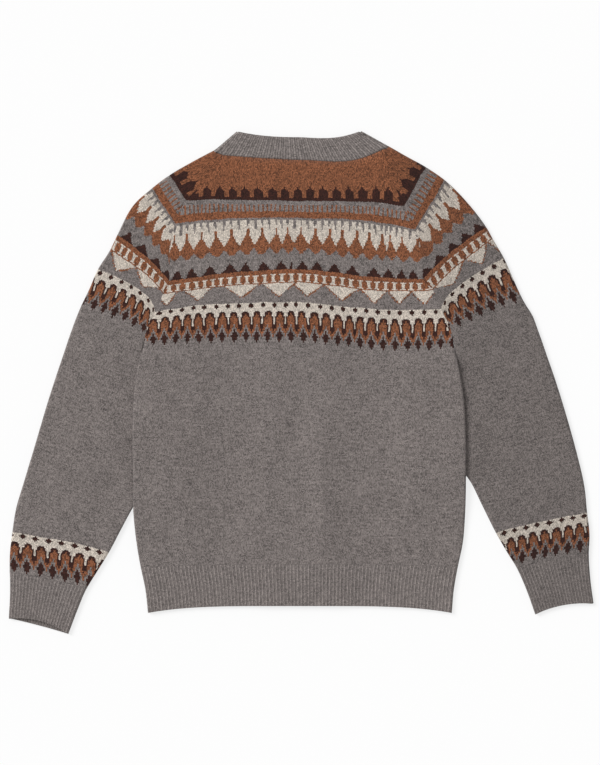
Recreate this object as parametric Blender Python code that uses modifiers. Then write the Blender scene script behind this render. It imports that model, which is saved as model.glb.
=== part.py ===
"""Fair isle cardigan, laid flat on its front with its back showing.

Every piece of cloth is an open sheet, the middle of its wall, that a Solidify modifier thickens. A sheet is
a loft of rows that run across the garment the way its knitted rows do. The tables below give the ends of
each row as it lies on the table, in millimetres: +X to the right of the back, +Y towards the neck, and the
table at Z = 0. The back lies on top, the fronts underneath, and each sleeve is folded along its shoulder.
"""
import math
from collections import namedtuple

import bpy
from mathutils import Vector

MM = 0.001

# ---------------------------------------------------------------- driving sizes, in millimetres
WALL = 2.0              # thickness of the knitted cloth
BODY_THICK = 7.0        # both layers of the body, from the table to the back's top
SLEEVE_THICK = 7.0      # both layers of a sleeve
PRESSED_THICK = 5.0     # both layers of a sleeve where the body lies on it
SEAM = 0.3              # gap between two pieces at a seam
ARMPIT_SEAM = 1.3       # the same next to the armpits, where four pieces meet at a point
BODY_LIFT = 5.5         # how far the body is lifted where it lies on a sleeve
RIDGE = 2.6             # how far the lapped bands lift the back
RIDGE_HALF = 100.0      # half the width of that ridge at its foot
RIDGE_SLOPE = 65.0      # width of each of its slopes
RIDGE_END = 336.8       # Y where the ridge has faded out, above the bands
RIDGE_FADE = 40.0       # length of that fade
BAND_WIDTH = 30.0
BAND_TOP = 291.8        # Y of the bands' upper end, level with the neckband's edge
BAND_FOOT = -335.3      # Y of their lower end, level with the hem
FRONT_RAMP = 62.0       # from the centre line to where a front starts to rise to its band
BAND_STEPS = 4
BUTTON_THICK = 2.4
BUTTON_RADIUS = 9.0
BUTTON_COUNT = 8
TOP_BUTTON_INSET = 14.0     # from the bands' upper end to the first button
FOOT_BUTTON_INSET = 22.0    # from their lower end to the last one
HOLE_RADIUS = 1.0           # the four thread holes of a button
HOLE_PITCH = 4.0
BUTTON_EDGE = 0.6           # rounding of a button's rim
SLOT_LENGTH = 19.0          # buttonhole
SLOT_WIDTH = 2.4

LOOP_RADIUS = (BODY_THICK - WALL) / 2     # of the wall's middle, where a layer turns over an edge

# ---------------------------------------------------------------- rows of the body
# Each row of the back runs from its left end to its right end, and bow is how far its middle lies above
# the straight line between them. A higher power keeps the row flat further out.
BodyRow = namedtuple("BodyRow", "name left_x left_y right_x right_y bow power")
BODY_ROWS = [
    BodyRow("neck seam", -123.8, 345.3, 129.0, 351.3, -16.5, 4),
    BodyRow("plain yoke", -140.3, 304.5, 135.8, 306.8, -3.4, 4),
    BodyRow("foot of the comb", -172.5, 273.8, 153.9, 265.8, 3.4, 4),
    BodyRow("foot of the rust stripe", -190.1, 238.2, 171.8, 230.3, 10.5, 4),
    BodyRow("spikes", -196.5, 213.8, 177.8, 204.8, 9.2, 4),
    BodyRow("foot of the zigzag", -197.0, 181.5, 182.3, 182.3, 10.0, 3),
    BodyRow("top of the ladder band", -197.6, 152.3, 184.5, 155.7, 16.9, 2),
    BodyRow("foot of the ladder band", -204.8, 133.4, 198.0, 137.0, 14.8, 2),
    BodyRow("lice", -216.8, 104.3, 211.5, 108.0, 11.6, 2),
    BodyRow("chevrons", -230.3, 83.3, 223.5, 83.3, 10.0, 2),
    BodyRow("armpits", -237.0, 53.3, 231.0, 50.3, 9.0, 2),
    BodyRow("side 1", -245.1, 23.3, 237.0, 21.8, 7.0, 2),
    BodyRow("side 2", -250.5, -18.8, 243.8, -18.8, 5.0, 2),
    BodyRow("side 3", -252.8, -78.8, 247.2, -78.8, 4.0, 2),
    BodyRow("side 4", -252.0, -138.8, 247.5, -138.8, 3.0, 2),
    BodyRow("side 5", -251.5, -194.3, 246.5, -194.3, 3.0, 2),
    BodyRow("side 6", -246.8, -240.8, 243.0, -240.8, 4.0, 2),
    BodyRow("hem seam", -240.8, -276.8, 235.5, -276.8, 4.5, 2),
    BodyRow("hem", -233.6, -311.3, 229.5, -311.3, 7.5, 3),
    BodyRow("hem edge", -229.8, -345.8, 226.5, -345.8, 10.5, 4),
]
ROW_NAMES = [row.name for row in BODY_ROWS]
ARMPIT = ROW_NAMES.index("armpits")
HEM_SEAM = ROW_NAMES.index("hem seam")

# The ends of the fronts' rows at their raglan seams, from the neck to the armpits, and the rows' height at
# the bands. The neckline cuts the fronts lower than the back. Below the armpits they follow the back.
FrontRow = namedtuple("FrontRow", "left_x left_y right_x right_y centre_y power")
FRONT_YOKE_ROWS = [
    FrontRow(-105.0, 297.8, 105.0, 300.8, 259.5, 2.6),
    FrontRow(-120.0, 276.8, 120.0, 278.3, 254.0, 2.6),
    FrontRow(-138.0, 252.8, 138.0, 252.8, 246.0, 2.4),
    FrontRow(-156.0, 215.3, 156.0, 216.8, 232.0, 2.2),
    FrontRow(-166.5, 192.8, 166.5, 192.8, 213.0, 2),
    FrontRow(-175.5, 168.8, 175.5, 170.3, 191.0, 2),
    FrontRow(-184.5, 141.8, 184.5, 144.8, 170.9, 2),
    FrontRow(-193.5, 125.3, 195.0, 125.3, 150.0, 2),
    FrontRow(-207.0, 99.8, 208.5, 99.8, 117.8, 2),
    FrontRow(-222.0, 75.8, 222.8, 77.3, 93.0, 2),
]

# ---------------------------------------------------------------- rows of the sleeves
# A sleeve's row starts at the back's raglan seam, turns over at the fold along the shoulder and ends at the
# front's raglan seam. The seams' points are in the tables above, so these hold only the fold.
Fold = namedtuple("Fold", "x y")
YOKE_FOLDS = {
    "left": [
        Fold(-130.5, 348.5), Fold(-163.5, 331.0), Fold(-196.5, 311.7), Fold(-223.0, 292.0),
        Fold(-246.8, 274.5), Fold(-262.5, 249.0), Fold(-276.8, 219.0), Fold(-288.0, 201.8),
        Fold(-305.3, 173.3), Fold(-329.3, 119.3),
    ],
    "right": [
        Fold(135.5, 353.3), Fold(162.0, 337.4), Fold(186.9, 323.6), Fold(215.3, 304.1),
        Fold(240.0, 282.0), Fold(259.5, 257.3), Fold(274.5, 237.8), Fold(293.0, 211.1),
        Fold(308.3, 186.8), Fold(331.5, 138.8),
    ],
}

# Below the armpit both layers end at the seam under the arm. pressed is how much of that side is squeezed
# by the body that lies on it.
ArmRow = namedtuple("ArmRow", "under_x under_y fold_x fold_y pressed")
ARM_ROWS = {
    "left": [
        ArmRow(-237.0, 53.3, -339.8, 90.8, 0),
        ArmRow(-245.1, 23.3, -347.3, 69.8, 1),
        ArmRow(-217.5, -11.3, -356.3, 42.8, 1),
        ArmRow(-202.5, -53.3, -367.5, 9.8, 1),
        ArmRow(-207.0, -99.8, -381.0, -32.3, 1),
        ArmRow(-225.0, -146.3, -398.3, -90.8, 1),
        ArmRow(-251.7, -186.8, -416.3, -150.8, 1),
        ArmRow(-270.0, -220.5, -427.8, -189.8, 0),
        ArmRow(-288.5, -255.8, -433.5, -225.8, 0),
        ArmRow(-305.3, -282.8, -436.8, -255.8, 0),
        ArmRow(-321.8, -309.8, -437.3, -284.3, 0),
        ArmRow(-335.3, -341.3, -437.3, -320.3, 0),
        ArmRow(-349.1, -377.5, -439.1, -354.3, 0),
    ],
    "right": [
        ArmRow(231.0, 50.3, 350.3, 95.3, 0),
        ArmRow(237.0, 21.8, 360.0, 66.8, 1),
        ArmRow(208.5, -11.3, 369.8, 38.3, 1),
        ArmRow(194.3, -51.8, 381.8, 3.8, 1),
        ArmRow(202.5, -90.8, 394.5, -36.8, 1),
        ArmRow(223.5, -119.3, 405.0, -72.8, 1),
        ArmRow(250.5, -143.3, 415.5, -111.8, 1),
        ArmRow(273.0, -186.8, 425.3, -155.3, 0),
        ArmRow(294.0, -228.8, 429.5, -195.8, 0),
        ArmRow(309.0, -254.3, 433.1, -227.3, 0),
        ArmRow(323.7, -278.3, 432.0, -258.0, 0),
        ArmRow(338.3, -311.3, 434.3, -294.8, 0),
        ArmRow(351.5, -348.2, 439.1, -331.4, 0),
    ],
}
SHORT_LAYER = 12.0          # a layer shorter than this, as at the neck, has its edge drawn together
CUFF_ROWS = 3               # the last rows of an arm are its cuff, and the first of them is its seam
CUFF_MOUTH_BOW = 6.0        # the upper layer of a cuff's mouth curves back by this
BESIDE = 30.0               # below the armpit the sleeve lies beside the body for this long, then under it
SLEEVE_LEAVES = {"left": -190.0, "right": -145.0}     # Y where it comes out again
LIFT_FLAT = 62.0            # the body is fully lifted for this far in from its side
LIFT_FADE = 75.0            # and comes down over this
LIFT_FADE_ALONG = 85.0

# ---------------------------------------------------------------- the neckband
# Its edge at the back is one bowed row, as the back's own rows are.
NECK_EDGE = BodyRow("neckband edge", -93.0, 376.0, 87.0, 376.2, -9.2, 2.4)
# At the fold over the shoulder:
NeckFold = namedtuple("NeckFold", "edge_x edge_y")
NECK_FOLD = {"left": NeckFold(-96.8, 377.3), "right": NeckFold(90.5, 377.6)}
# Round the front its edge is a Bezier curve from next to the fold to the band. These are its four points,
# for the left half; the right half mirrors them.
NECK_FRONT_EDGE = [(-92.0, 372.0), (-88.0, 322.0), (-58.0, BAND_TOP), (-BAND_WIDTH / 2 - SEAM, BAND_TOP)]

# ---------------------------------------------------------------- where a row has its points
CORNERS = (75, 45, 15)      # degrees from level, of the points where a layer turns down to a closed seam
OPEN_STEP = 1.0             # spacing of those points where the seam is open to the other piece, in mm
SIDE_COLUMNS = (30.0, LIFT_FLAT)                                        # from a side of the body, in mm
BACK_COLUMNS = (0.1, 0.2, 0.3, 0.4, 0.5, 0.6, 0.7, 0.8, 0.9)            # shares of what lies between
FRONT_COLUMNS = (0.13, 0.27, 0.42, 0.58, 0.74, 0.83, 0.92, 1.0)         # shares of a front's row
SLEEVE_COLUMNS = (0.18, 0.36, 0.6, 0.8)                                 # shares of a layer of a sleeve
PRESSED_SHARES = {0.18: 1.0, 0.36: 1.0, 0.6: 0.45, 0.8: 0.0}            # how squeezed each of those is

# ---------------------------------------------------------------- colours: sRGB, as seen
COLOURS = {
    "grey heather jersey": (0.48, 0.45, 0.43),
    "grey heather rib": (0.46, 0.44, 0.42),
    "brown horn button": (0.24, 0.15, 0.10),
}


def remove_everything():
    """Empties the scene that the script is run in."""
    for item in list(bpy.data.objects):
        bpy.data.objects.remove(item, do_unlink=True)


def collection(name):
    """A new collection in the scene."""
    made = bpy.data.collections.new(name)
    bpy.context.scene.collection.children.link(made)
    return made


def linear(value):
    """A channel of an sRGB colour as the linear value that a shader takes."""
    return value / 12.92 if value <= 0.04045 else ((value + 0.055) / 1.055) ** 2.4


def material(name, roughness):
    """A Principled material in one of the colours above."""
    made = bpy.data.materials.new(name)
    made.use_nodes = True
    shader = made.node_tree.nodes["Principled BSDF"]
    shader.inputs["Base Color"].default_value = (*[linear(v) for v in COLOURS[name]], 1)
    shader.inputs["Roughness"].default_value = roughness
    shader.inputs["Metallic"].default_value = 0
    return made


def smooth(value):
    """0 below 0, 1 above 1, and a soft step between."""
    value = min(max(value, 0.0), 1.0)
    return value * value * (3 - 2 * value)


# ---------------------------------------------------------------- how high the layers lie
def side_x(side, y):
    """X of the body's side at a height Y, from the rows below the armpits."""
    ends = [(getattr(row, side + "_x"), getattr(row, side + "_y")) for row in BODY_ROWS[ARMPIT:]]
    for (x0, y0), (x1, y1) in zip(ends, ends[1:]):
        if y >= y1:
            return x0 + (x1 - x0) * max(y0 - y, 0) / (y0 - y1)
    return ends[-1][0]


def lift(x, y):
    """How far the body is lifted off the table by the sleeve that lies under its side."""
    side = "left" if x < 0 else "right"
    armpit = getattr(BODY_ROWS[ARMPIT], side + "_y")
    inward = abs(side_x(side, y) - x)
    along = smooth((armpit - y) / BESIDE) * smooth(1 - (SLEEVE_LEAVES[side] - y) / LIFT_FADE_ALONG)
    return BODY_LIFT * along * smooth(1 - (inward - LIFT_FLAT) / LIFT_FADE)


def ridge(x, y):
    """How far the lapped bands lift the back at its middle."""
    return RIDGE * smooth((RIDGE_HALF - abs(x)) / RIDGE_SLOPE) * smooth((RIDGE_END - y) / RIDGE_FADE)


BUTTONHOLE_BAND_Z = BUTTON_THICK + SEAM + WALL / 2
BUTTON_BAND_Z = BUTTONHOLE_BAND_Z + WALL + SEAM
BAND_Z = {"left": BUTTONHOLE_BAND_Z, "right": BUTTON_BAND_Z}


def front_rise(x):
    """How far a front rises from the table to meet its band."""
    side = "left" if x < 0 else "right"
    ramp = smooth((FRONT_RAMP - abs(x)) / (FRONT_RAMP - BAND_WIDTH / 2))
    return (BAND_Z[side] - WALL / 2) * ramp


def seam_at(index):
    """The gap at the seam of a row: wider next to the armpits."""
    return ARMPIT_SEAM if abs(index - ARMPIT) <= 1 else SEAM


def turned_edge(thick, seam):
    """Points of one layer of an edge that turns down to meet the other at half height, from the seam in.

    Each is the distance in from the edge and the height above the middle. The wall's middle runs through
    a polygon round a half circle, so its last stretch is upright and the two end faces meet squarely."""
    radius = (thick - WALL) / 2
    reach = radius / math.cos(math.radians(CORNERS[-1]))
    turned = [(WALL / 2 + SEAM / 2, seam / 2)]
    for angle in CORNERS:
        inward = WALL / 2 + SEAM / 2 + radius - reach * math.sin(math.radians(angle))
        turned.append((inward, reach * math.cos(math.radians(angle))))
    return turned


def open_edge(thick, seam):
    """The same points for an edge that stays level, because its seam joins the same layer of its neighbour."""
    level = (thick - WALL) / 2
    return [(seam / 2 + OPEN_STEP * step, level) for step in range(len(CORNERS) + 1)]


def edge_at(index, thick):
    """The edge of a row: open along the raglan seams, and closed from the armpits down."""
    shape = open_edge if index < ARMPIT else turned_edge
    return shape(thick, seam_at(index))


def fold_arc(thick):
    """Points of a layer turning right over at a fold, from the upper layer to the lower one."""
    radius = (thick - WALL) / 2
    reach = radius / math.cos(math.radians(CORNERS[-1]))
    angles = [90 / (2 * len(CORNERS)) * (2 * step + 1) for step in range(2 * len(CORNERS))]
    return [(reach * math.sin(math.radians(a)), reach * math.cos(math.radians(a))) for a in angles]


# ---------------------------------------------------------------- sheets
def ease_ends(grid, first=True, last=True):
    """Draws a sheet's first and last rows in by half a seam, along its columns."""
    for wanted, end, inner in ((first, 0, 1), (last, -1, -2)):
        if not wanted:
            continue
        grid[end] = [
            point + (inside - point).normalized() * SEAM / 2
            for point, inside in zip(grid[end], grid[inner])
        ]
    return grid


def cloth(name, grid, made_of, upward=True):
    """A wall of cloth whose middle is the sheet through a grid of points in millimetres."""
    across = len(grid[0])
    points = [point * MM for row in grid for point in row]
    faces = []
    for down in range(len(grid) - 1):
        for side in range(across - 1):
            corner = down * across + side
            face = (corner, corner + across, corner + across + 1, corner + 1)
            faces.append(face if upward else face[::-1])
    mesh = bpy.data.meshes.new(name)
    mesh.from_pydata(points, [], faces)
    mesh.update()
    mesh.shade_smooth()
    made = bpy.data.objects.new(name, mesh)
    garment.objects.link(made)
    mesh.materials.append(made_of)
    wall = made.modifiers.new("Wall", "SOLIDIFY")
    wall.thickness = WALL * MM
    wall.offset = 0
    return made


def bowed(row, share):
    """A point on a bowed row, a share of the way from its left end to its right end."""
    x = row.left_x + (row.right_x - row.left_x) * share
    y = row.left_y + (row.right_y - row.left_y) * share
    return x, y + row.bow * (1 - abs(2 * share - 1) ** row.power)


def back_row(index):
    """One row of the back and its hem: points on the top layer of the body."""
    row = BODY_ROWS[index]
    width = row.right_x - row.left_x
    level = LOOP_RADIUS
    from_left = edge_at(index, BODY_THICK) + [(distance, level) for distance in SIDE_COLUMNS]
    between = width - 2 * LIFT_FLAT
    middle = [(LIFT_FLAT + between * share, level) for share in BACK_COLUMNS]
    from_right = [(width - distance, above) for distance, above in reversed(from_left)]
    points = []
    for distance, above in from_left + middle + from_right:
        x, y = bowed(row, distance / width)
        height = BODY_THICK / 2 + lift(x, y) + above + ridge(x, y) * (above > LOOP_RADIUS / 2)
        points.append(Vector((x, y, height)))
    return points


def front_end(side, index):
    """The outer end of a front's row, its height at the band and its power."""
    if index < ARMPIT:
        row = FRONT_YOKE_ROWS[index]
        return getattr(row, side + "_x"), getattr(row, side + "_y"), row.centre_y, row.power
    row = BODY_ROWS[index]
    centre = (row.left_y + row.right_y) / 2 + row.bow
    return getattr(row, side + "_x"), getattr(row, side + "_y"), centre, row.power


def front_row(side, index):
    """One row of a front and its hem, from its outer end to its band: points on the body's lower layer."""
    x_end, y_end, y_centre, power = front_end(side, index)
    inward = 1 if side == "left" else -1
    length = abs(x_end) - BAND_WIDTH / 2
    stations = edge_at(index, BODY_THICK) + [(length * share, LOOP_RADIUS) for share in FRONT_COLUMNS]
    points = []
    for distance, below in stations:
        x = x_end + inward * min(distance, length - SEAM / 2)
        share = distance / (length + BAND_WIDTH / 2)
        y = y_end + (y_centre - y_end) * (1 - (1 - share) ** power)
        points.append(Vector((x, y, BODY_THICK / 2 + lift(x, y) - below + front_rise(x))))
    return points


# ---------------------------------------------------------------- sleeves
def outward_at(folds, index):
    """The level direction square to a fold line, away from the garment."""
    before = folds[max(index - 1, 0)]
    after = folds[min(index + 1, len(folds) - 1)]
    along = Vector((after.x - before.x, after.y - before.y, 0)).normalized()
    outward = Vector((along.y, -along.x, 0))
    if outward.dot(Vector((folds[index].x, 0, 0))) < 0:
        outward.negate()
    return outward


def sleeve_rows(side):
    """Every row of a sleeve and its cuff, from the neck to the mouth."""
    arm = ARM_ROWS[side]
    folds = YOKE_FOLDS[side] + [Fold(row.fold_x, row.fold_y) for row in arm]
    rows = []
    for index, fold in enumerate(folds):
        in_yoke = index < ARMPIT
        pressed = 0 if in_yoke else arm[index - ARMPIT].pressed
        if in_yoke:
            upper = Vector((getattr(BODY_ROWS[index], side + "_x"), getattr(BODY_ROWS[index], side + "_y"), 0))
            front = FRONT_YOKE_ROWS[index]
            lower = Vector((getattr(front, side + "_x"), getattr(front, side + "_y"), 0))
        else:
            upper = Vector((arm[index - ARMPIT].under_x, arm[index - ARMPIT].under_y, 0))
            lower = upper.copy()
        outward = outward_at(folds, index)
        mouth = index == len(folds) - 1
        rows.append(sleeve_row(index, upper, lower, fold, outward, pressed, mouth))
    return rows


def down_the_arm(along):
    """The level direction square to a row that points down the arm."""
    down = Vector((along.y, -along.x, 0))
    return down if down.y < 0 else -down


def sleeve_row(index, upper, lower, fold, outward, pressed, mouth):
    """One row of a sleeve: along its upper layer to the fold, round it, and back along its lower layer."""
    in_yoke = index < ARMPIT
    thick_in = SLEEVE_THICK + (PRESSED_THICK - SLEEVE_THICK) * pressed
    arc = fold_arc(SLEEVE_THICK)
    hinge = Vector((fold.x, fold.y, 0)) - outward * (SLEEVE_THICK / 2)
    edge = edge_at(index, thick_in)

    def layer(end, sign):
        run = hinge - end
        length = run.length
        along = run.normalized()
        scale = min(1.0, length / SHORT_LAYER)
        points = []
        for distance, away in edge:
            place = end + along * (distance * scale if in_yoke else distance)
            points.append(place + Vector((0, 0, thick_in / 2 + sign * away)))
        for share in SLEEVE_COLUMNS:
            thick = SLEEVE_THICK - (SLEEVE_THICK - PRESSED_THICK) * pressed * PRESSED_SHARES[share]
            start = edge[-1][0] * scale
            place = end + along * (start + (length - start) * share)
            if mouth and sign > 0:
                place -= down_the_arm(along) * CUFF_MOUTH_BOW * 4 * share * (1 - share)
            points.append(place + Vector((0, 0, thick / 2 + sign * (thick - WALL) / 2)))
        return points

    turn = [hinge + outward * out + Vector((0, 0, SLEEVE_THICK / 2 + up)) for out, up in arc]
    return layer(upper, 1) + turn + layer(lower, -1)[::-1]


# ---------------------------------------------------------------- neckband
def front_edge(side, share):
    """A point on the neckband's edge at the front, a share of the way from the fold to the band."""
    a, b, c, d = [Vector((x, y, 0)) for x, y in NECK_FRONT_EDGE]
    rest = 1 - share
    point = a * rest ** 3 + b * 3 * rest ** 2 * share + c * 3 * rest * share ** 2 + d * share ** 3
    if side == "right":
        point.x = -point.x
    point.z = WALL / 2 + front_rise(point.x)
    return point


def thinned(row):
    """A row without the two points next to its first one, where the seam is straight."""
    return row[:1] + row[3:]


def neck_half(side):
    """Stations from the raglan seam at the back, over the shoulder and round the front to the band.

    The seam follows the sleeve's first row and then the front's, point for point."""
    row = sleeve_rows(side)[0]
    layer = (len(row) - 2 * len(CORNERS)) // 2
    fold = row[layer:-layer]
    under_sleeve = thinned(row[-layer:][::-1])[::-1]
    seam_front = under_sleeve + thinned(front_row(side, 0))
    out = outward_at([Fold(YOKE_FOLDS[side][0].x, YOKE_FOLDS[side][0].y), Fold(*NECK_FOLD[side])], 0)
    corner = Vector((*NECK_FOLD[side], 0)) - out * (BODY_THICK / 2)
    stations = []
    for seam, (away, up) in zip(fold, fold_arc(BODY_THICK)):
        stations.append((seam, corner + out * away + Vector((0, 0, BODY_THICK / 2 + up))))
    steps = [0] + [(b - a).length for a, b in zip(seam_front, seam_front[1:])]
    for number, seam in enumerate(seam_front):
        share = sum(steps[:number + 1]) / sum(steps)
        stations.append((seam, front_edge(side, share)))
    return stations


def neckband_grid():
    """Three rows along the neckband, its seam, middle and edge, from one band round to the other."""
    left, right = neck_half("left"), neck_half("right")
    seam_back = thinned(thinned(back_row(0))[::-1])[::-1]
    width = BODY_ROWS[0].right_x - BODY_ROWS[0].left_x
    back = []
    for seam in seam_back:
        edge = bowed(NECK_EDGE, (seam.x - BODY_ROWS[0].left_x) / width)
        back.append((seam, Vector((*edge, BODY_THICK - WALL / 2))))
    stations = left[::-1] + back + right
    seams = [seam for seam, edge in stations]
    edges = [edge for seam, edge in stations]
    middles = [(seam + edge) / 2 for seam, edge in stations]
    return [seams, middles, edges]


# ---------------------------------------------------------------- bands and buttons
def band(name, side):
    """A straight rib band, from the neckband's edge to the hem's."""
    low, high = BAND_FOOT, BAND_TOP
    heights = [high + (low - high) * step / BAND_STEPS for step in range(BAND_STEPS + 1)]
    grid = [[Vector((x, y, BAND_Z[side])) for x in (-BAND_WIDTH / 2, 0, BAND_WIDTH / 2)] for y in heights]
    return cloth(name, grid, rib)


def button_heights():
    """Y of each button, evenly spaced down the bands."""
    first = BAND_TOP - TOP_BUTTON_INSET
    last = BAND_FOOT + FOOT_BUTTON_INSET
    step = (last - first) / (BUTTON_COUNT - 1)
    return [first + step * number for number in range(BUTTON_COUNT)]


def cutter_for(target, number, maker, location, **size):
    """A hidden shape that a Boolean cuts out of a piece."""
    maker(location=location, **size)
    tool = bpy.context.object
    tool.name = f"{target.name}_cutter_{number}"
    for holder in list(tool.users_collection):
        holder.objects.unlink(tool)
    cutters.objects.link(tool)
    tool.hide_render = True
    tool.display_type = "WIRE"
    cut = target.modifiers.new(f"Cut {number}", "BOOLEAN")
    cut.operation = "DIFFERENCE"
    cut.object = tool
    return tool


def buttonholes(target):
    """Cuts a level slot through the band at each button."""
    for number, y in enumerate(button_heights(), 1):
        tool = cutter_for(target, number, bpy.ops.mesh.primitive_cube_add,
                          (0, y * MM, BUTTONHOLE_BAND_Z * MM), size=1)
        tool.scale = (SLOT_LENGTH * MM, SLOT_WIDTH * MM, 2 * WALL * MM)


def button(number, y):
    """A four-hole button with a rounded rim, face down on the table."""
    bpy.ops.mesh.primitive_cylinder_add(vertices=16, radius=BUTTON_RADIUS * MM, depth=BUTTON_THICK * MM,
                                        location=(0, y * MM, BUTTON_THICK / 2 * MM))
    made = bpy.context.object
    made.name = f"button_{number}"
    made.data.name = made.name
    for holder in list(made.users_collection):
        holder.objects.unlink(made)
    garment.objects.link(made)
    made.data.materials.append(horn)
    rim = made.modifiers.new("Rim", "BEVEL")
    rim.width = BUTTON_EDGE * MM
    rim.segments = 1
    rim.limit_method = "ANGLE"
    half = HOLE_PITCH / 2
    for hole, (dx, dy) in enumerate([(-half, -half), (half, -half), (half, half), (-half, half)], 1):
        cutter_for(made, hole, bpy.ops.mesh.primitive_cylinder_add,
                   (dx * MM, (y + dy) * MM, BUTTON_THICK / 2 * MM),
                   vertices=5, radius=HOLE_RADIUS * MM, depth=2 * BUTTON_THICK * MM)
    made.data.shade_smooth()
    made.data.set_sharp_from_angle(angle=math.radians(40))
    return made


# ---------------------------------------------------------------- the garment
remove_everything()
garment = collection("fair isle cardigan")
cutters = collection("cutters")
jersey = material("grey heather jersey", 0.95)
rib = material("grey heather rib", 0.95)
horn = material("brown horn button", 0.4)

last_row = len(BODY_ROWS)
cloth("back", ease_ends([back_row(i) for i in range(HEM_SEAM + 1)]), jersey)
cloth("hem_back", ease_ends([back_row(i) for i in range(HEM_SEAM, last_row)], last=False), rib)
for side in ("left", "right"):
    panel = [front_row(side, i) for i in range(HEM_SEAM + 1)]
    hem = [front_row(side, i) for i in range(HEM_SEAM, last_row)]
    flip = side == "right"
    cloth(f"front_{side}", ease_ends(panel), jersey, upward=flip)
    cloth(f"hem_front_{side}", ease_ends(hem, last=False), rib, upward=flip)
    arm_rows = sleeve_rows(side)
    cloth(f"sleeve_{side}", ease_ends(arm_rows[:-CUFF_ROWS + 1]), jersey, upward=not flip)
    cloth(f"cuff_{side}", ease_ends(arm_rows[-CUFF_ROWS:], last=False), rib, upward=not flip)

cloth("neckband", ease_ends(neckband_grid(), last=False), rib, upward=False)
buttonholes(band("buttonhole_band", "left"))
band("button_band", "right")
for number, y in enumerate(button_heights(), 1):
    button(number, y)
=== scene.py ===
# %% [markdown]
# # A fair isle cardigan, laid flat with its back showing
# The garment is knitted wool: plain grey heather below, and a patterned yoke in rust, dark brown, cream and
# grey that runs across the back, the sleeves and the fronts. This lesson rebuilds it stitch by stitch. The
# plain parts need few faces, but in the patterned rows every stitch becomes two faces that lean towards
# each other, as the two legs of a real stitch do. Then a change of colour has the small V-shaped steps
# that the eye reads as knitting.

# %% The tools
import math
from collections import namedtuple

import bpy
import numpy as np
from mathutils import Matrix


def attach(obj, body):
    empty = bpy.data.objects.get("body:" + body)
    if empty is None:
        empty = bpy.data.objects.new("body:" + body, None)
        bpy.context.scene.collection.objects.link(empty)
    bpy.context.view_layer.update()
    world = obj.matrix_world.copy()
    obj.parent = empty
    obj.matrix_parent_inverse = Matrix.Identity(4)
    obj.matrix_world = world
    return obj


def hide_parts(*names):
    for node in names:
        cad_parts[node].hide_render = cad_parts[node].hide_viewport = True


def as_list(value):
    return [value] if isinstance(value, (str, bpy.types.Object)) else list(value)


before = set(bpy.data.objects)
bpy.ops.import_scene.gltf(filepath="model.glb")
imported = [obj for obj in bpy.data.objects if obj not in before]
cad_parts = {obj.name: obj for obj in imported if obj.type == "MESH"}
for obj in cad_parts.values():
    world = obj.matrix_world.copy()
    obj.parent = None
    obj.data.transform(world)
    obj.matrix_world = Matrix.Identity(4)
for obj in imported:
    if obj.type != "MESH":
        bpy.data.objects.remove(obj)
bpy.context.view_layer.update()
MM = 0.001
print("The frame has", len(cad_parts), "pieces")

# %% [markdown]
# ## Sizes
# All sizes are in millimetres: +X to the right, +Y towards the neck, and the table at Z = 0. A course is one
# knitted row, counted from the neck seam down, and a wale is one column of stitches. The gauge comes from
# the photograph, where a pattern of eight stitches takes about 17 mm.

# %% Gauge and thickness
STITCH = 2.16               # width of a stitch of the body
COURSE = 1.64               # height of a course
CENTRE_X = -7.0             # X of the middle wale of the back
WALL = 2.0                  # thickness of the cloth
THICK = 7.0                 # both layers, as they lie
PRESSED_THICK = 5.0         # both layers of a sleeve where the body lies on it
SEAM = 0.16                 # gap at a seam
RIB_PITCH = {"hem": 5.5, "cuff": 5.3, "neck": 7.3, "band": 5.0}    # one knit and one purl wale
RIB_DEPTH = 0.8
NECK_RIB_DEPTH = 0.5

# %% [markdown]
# ## The rows of the garment
# Each table row is one course of the laid garment: where it starts, where it ends, how far it bows, and how
# far its right half dips. A higher power keeps a bow level further out. The fabric between is found by a
# smooth curve down each column. The outline is the one that the solids have, and the rows inside it follow
# the pattern in the photograph.

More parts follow.
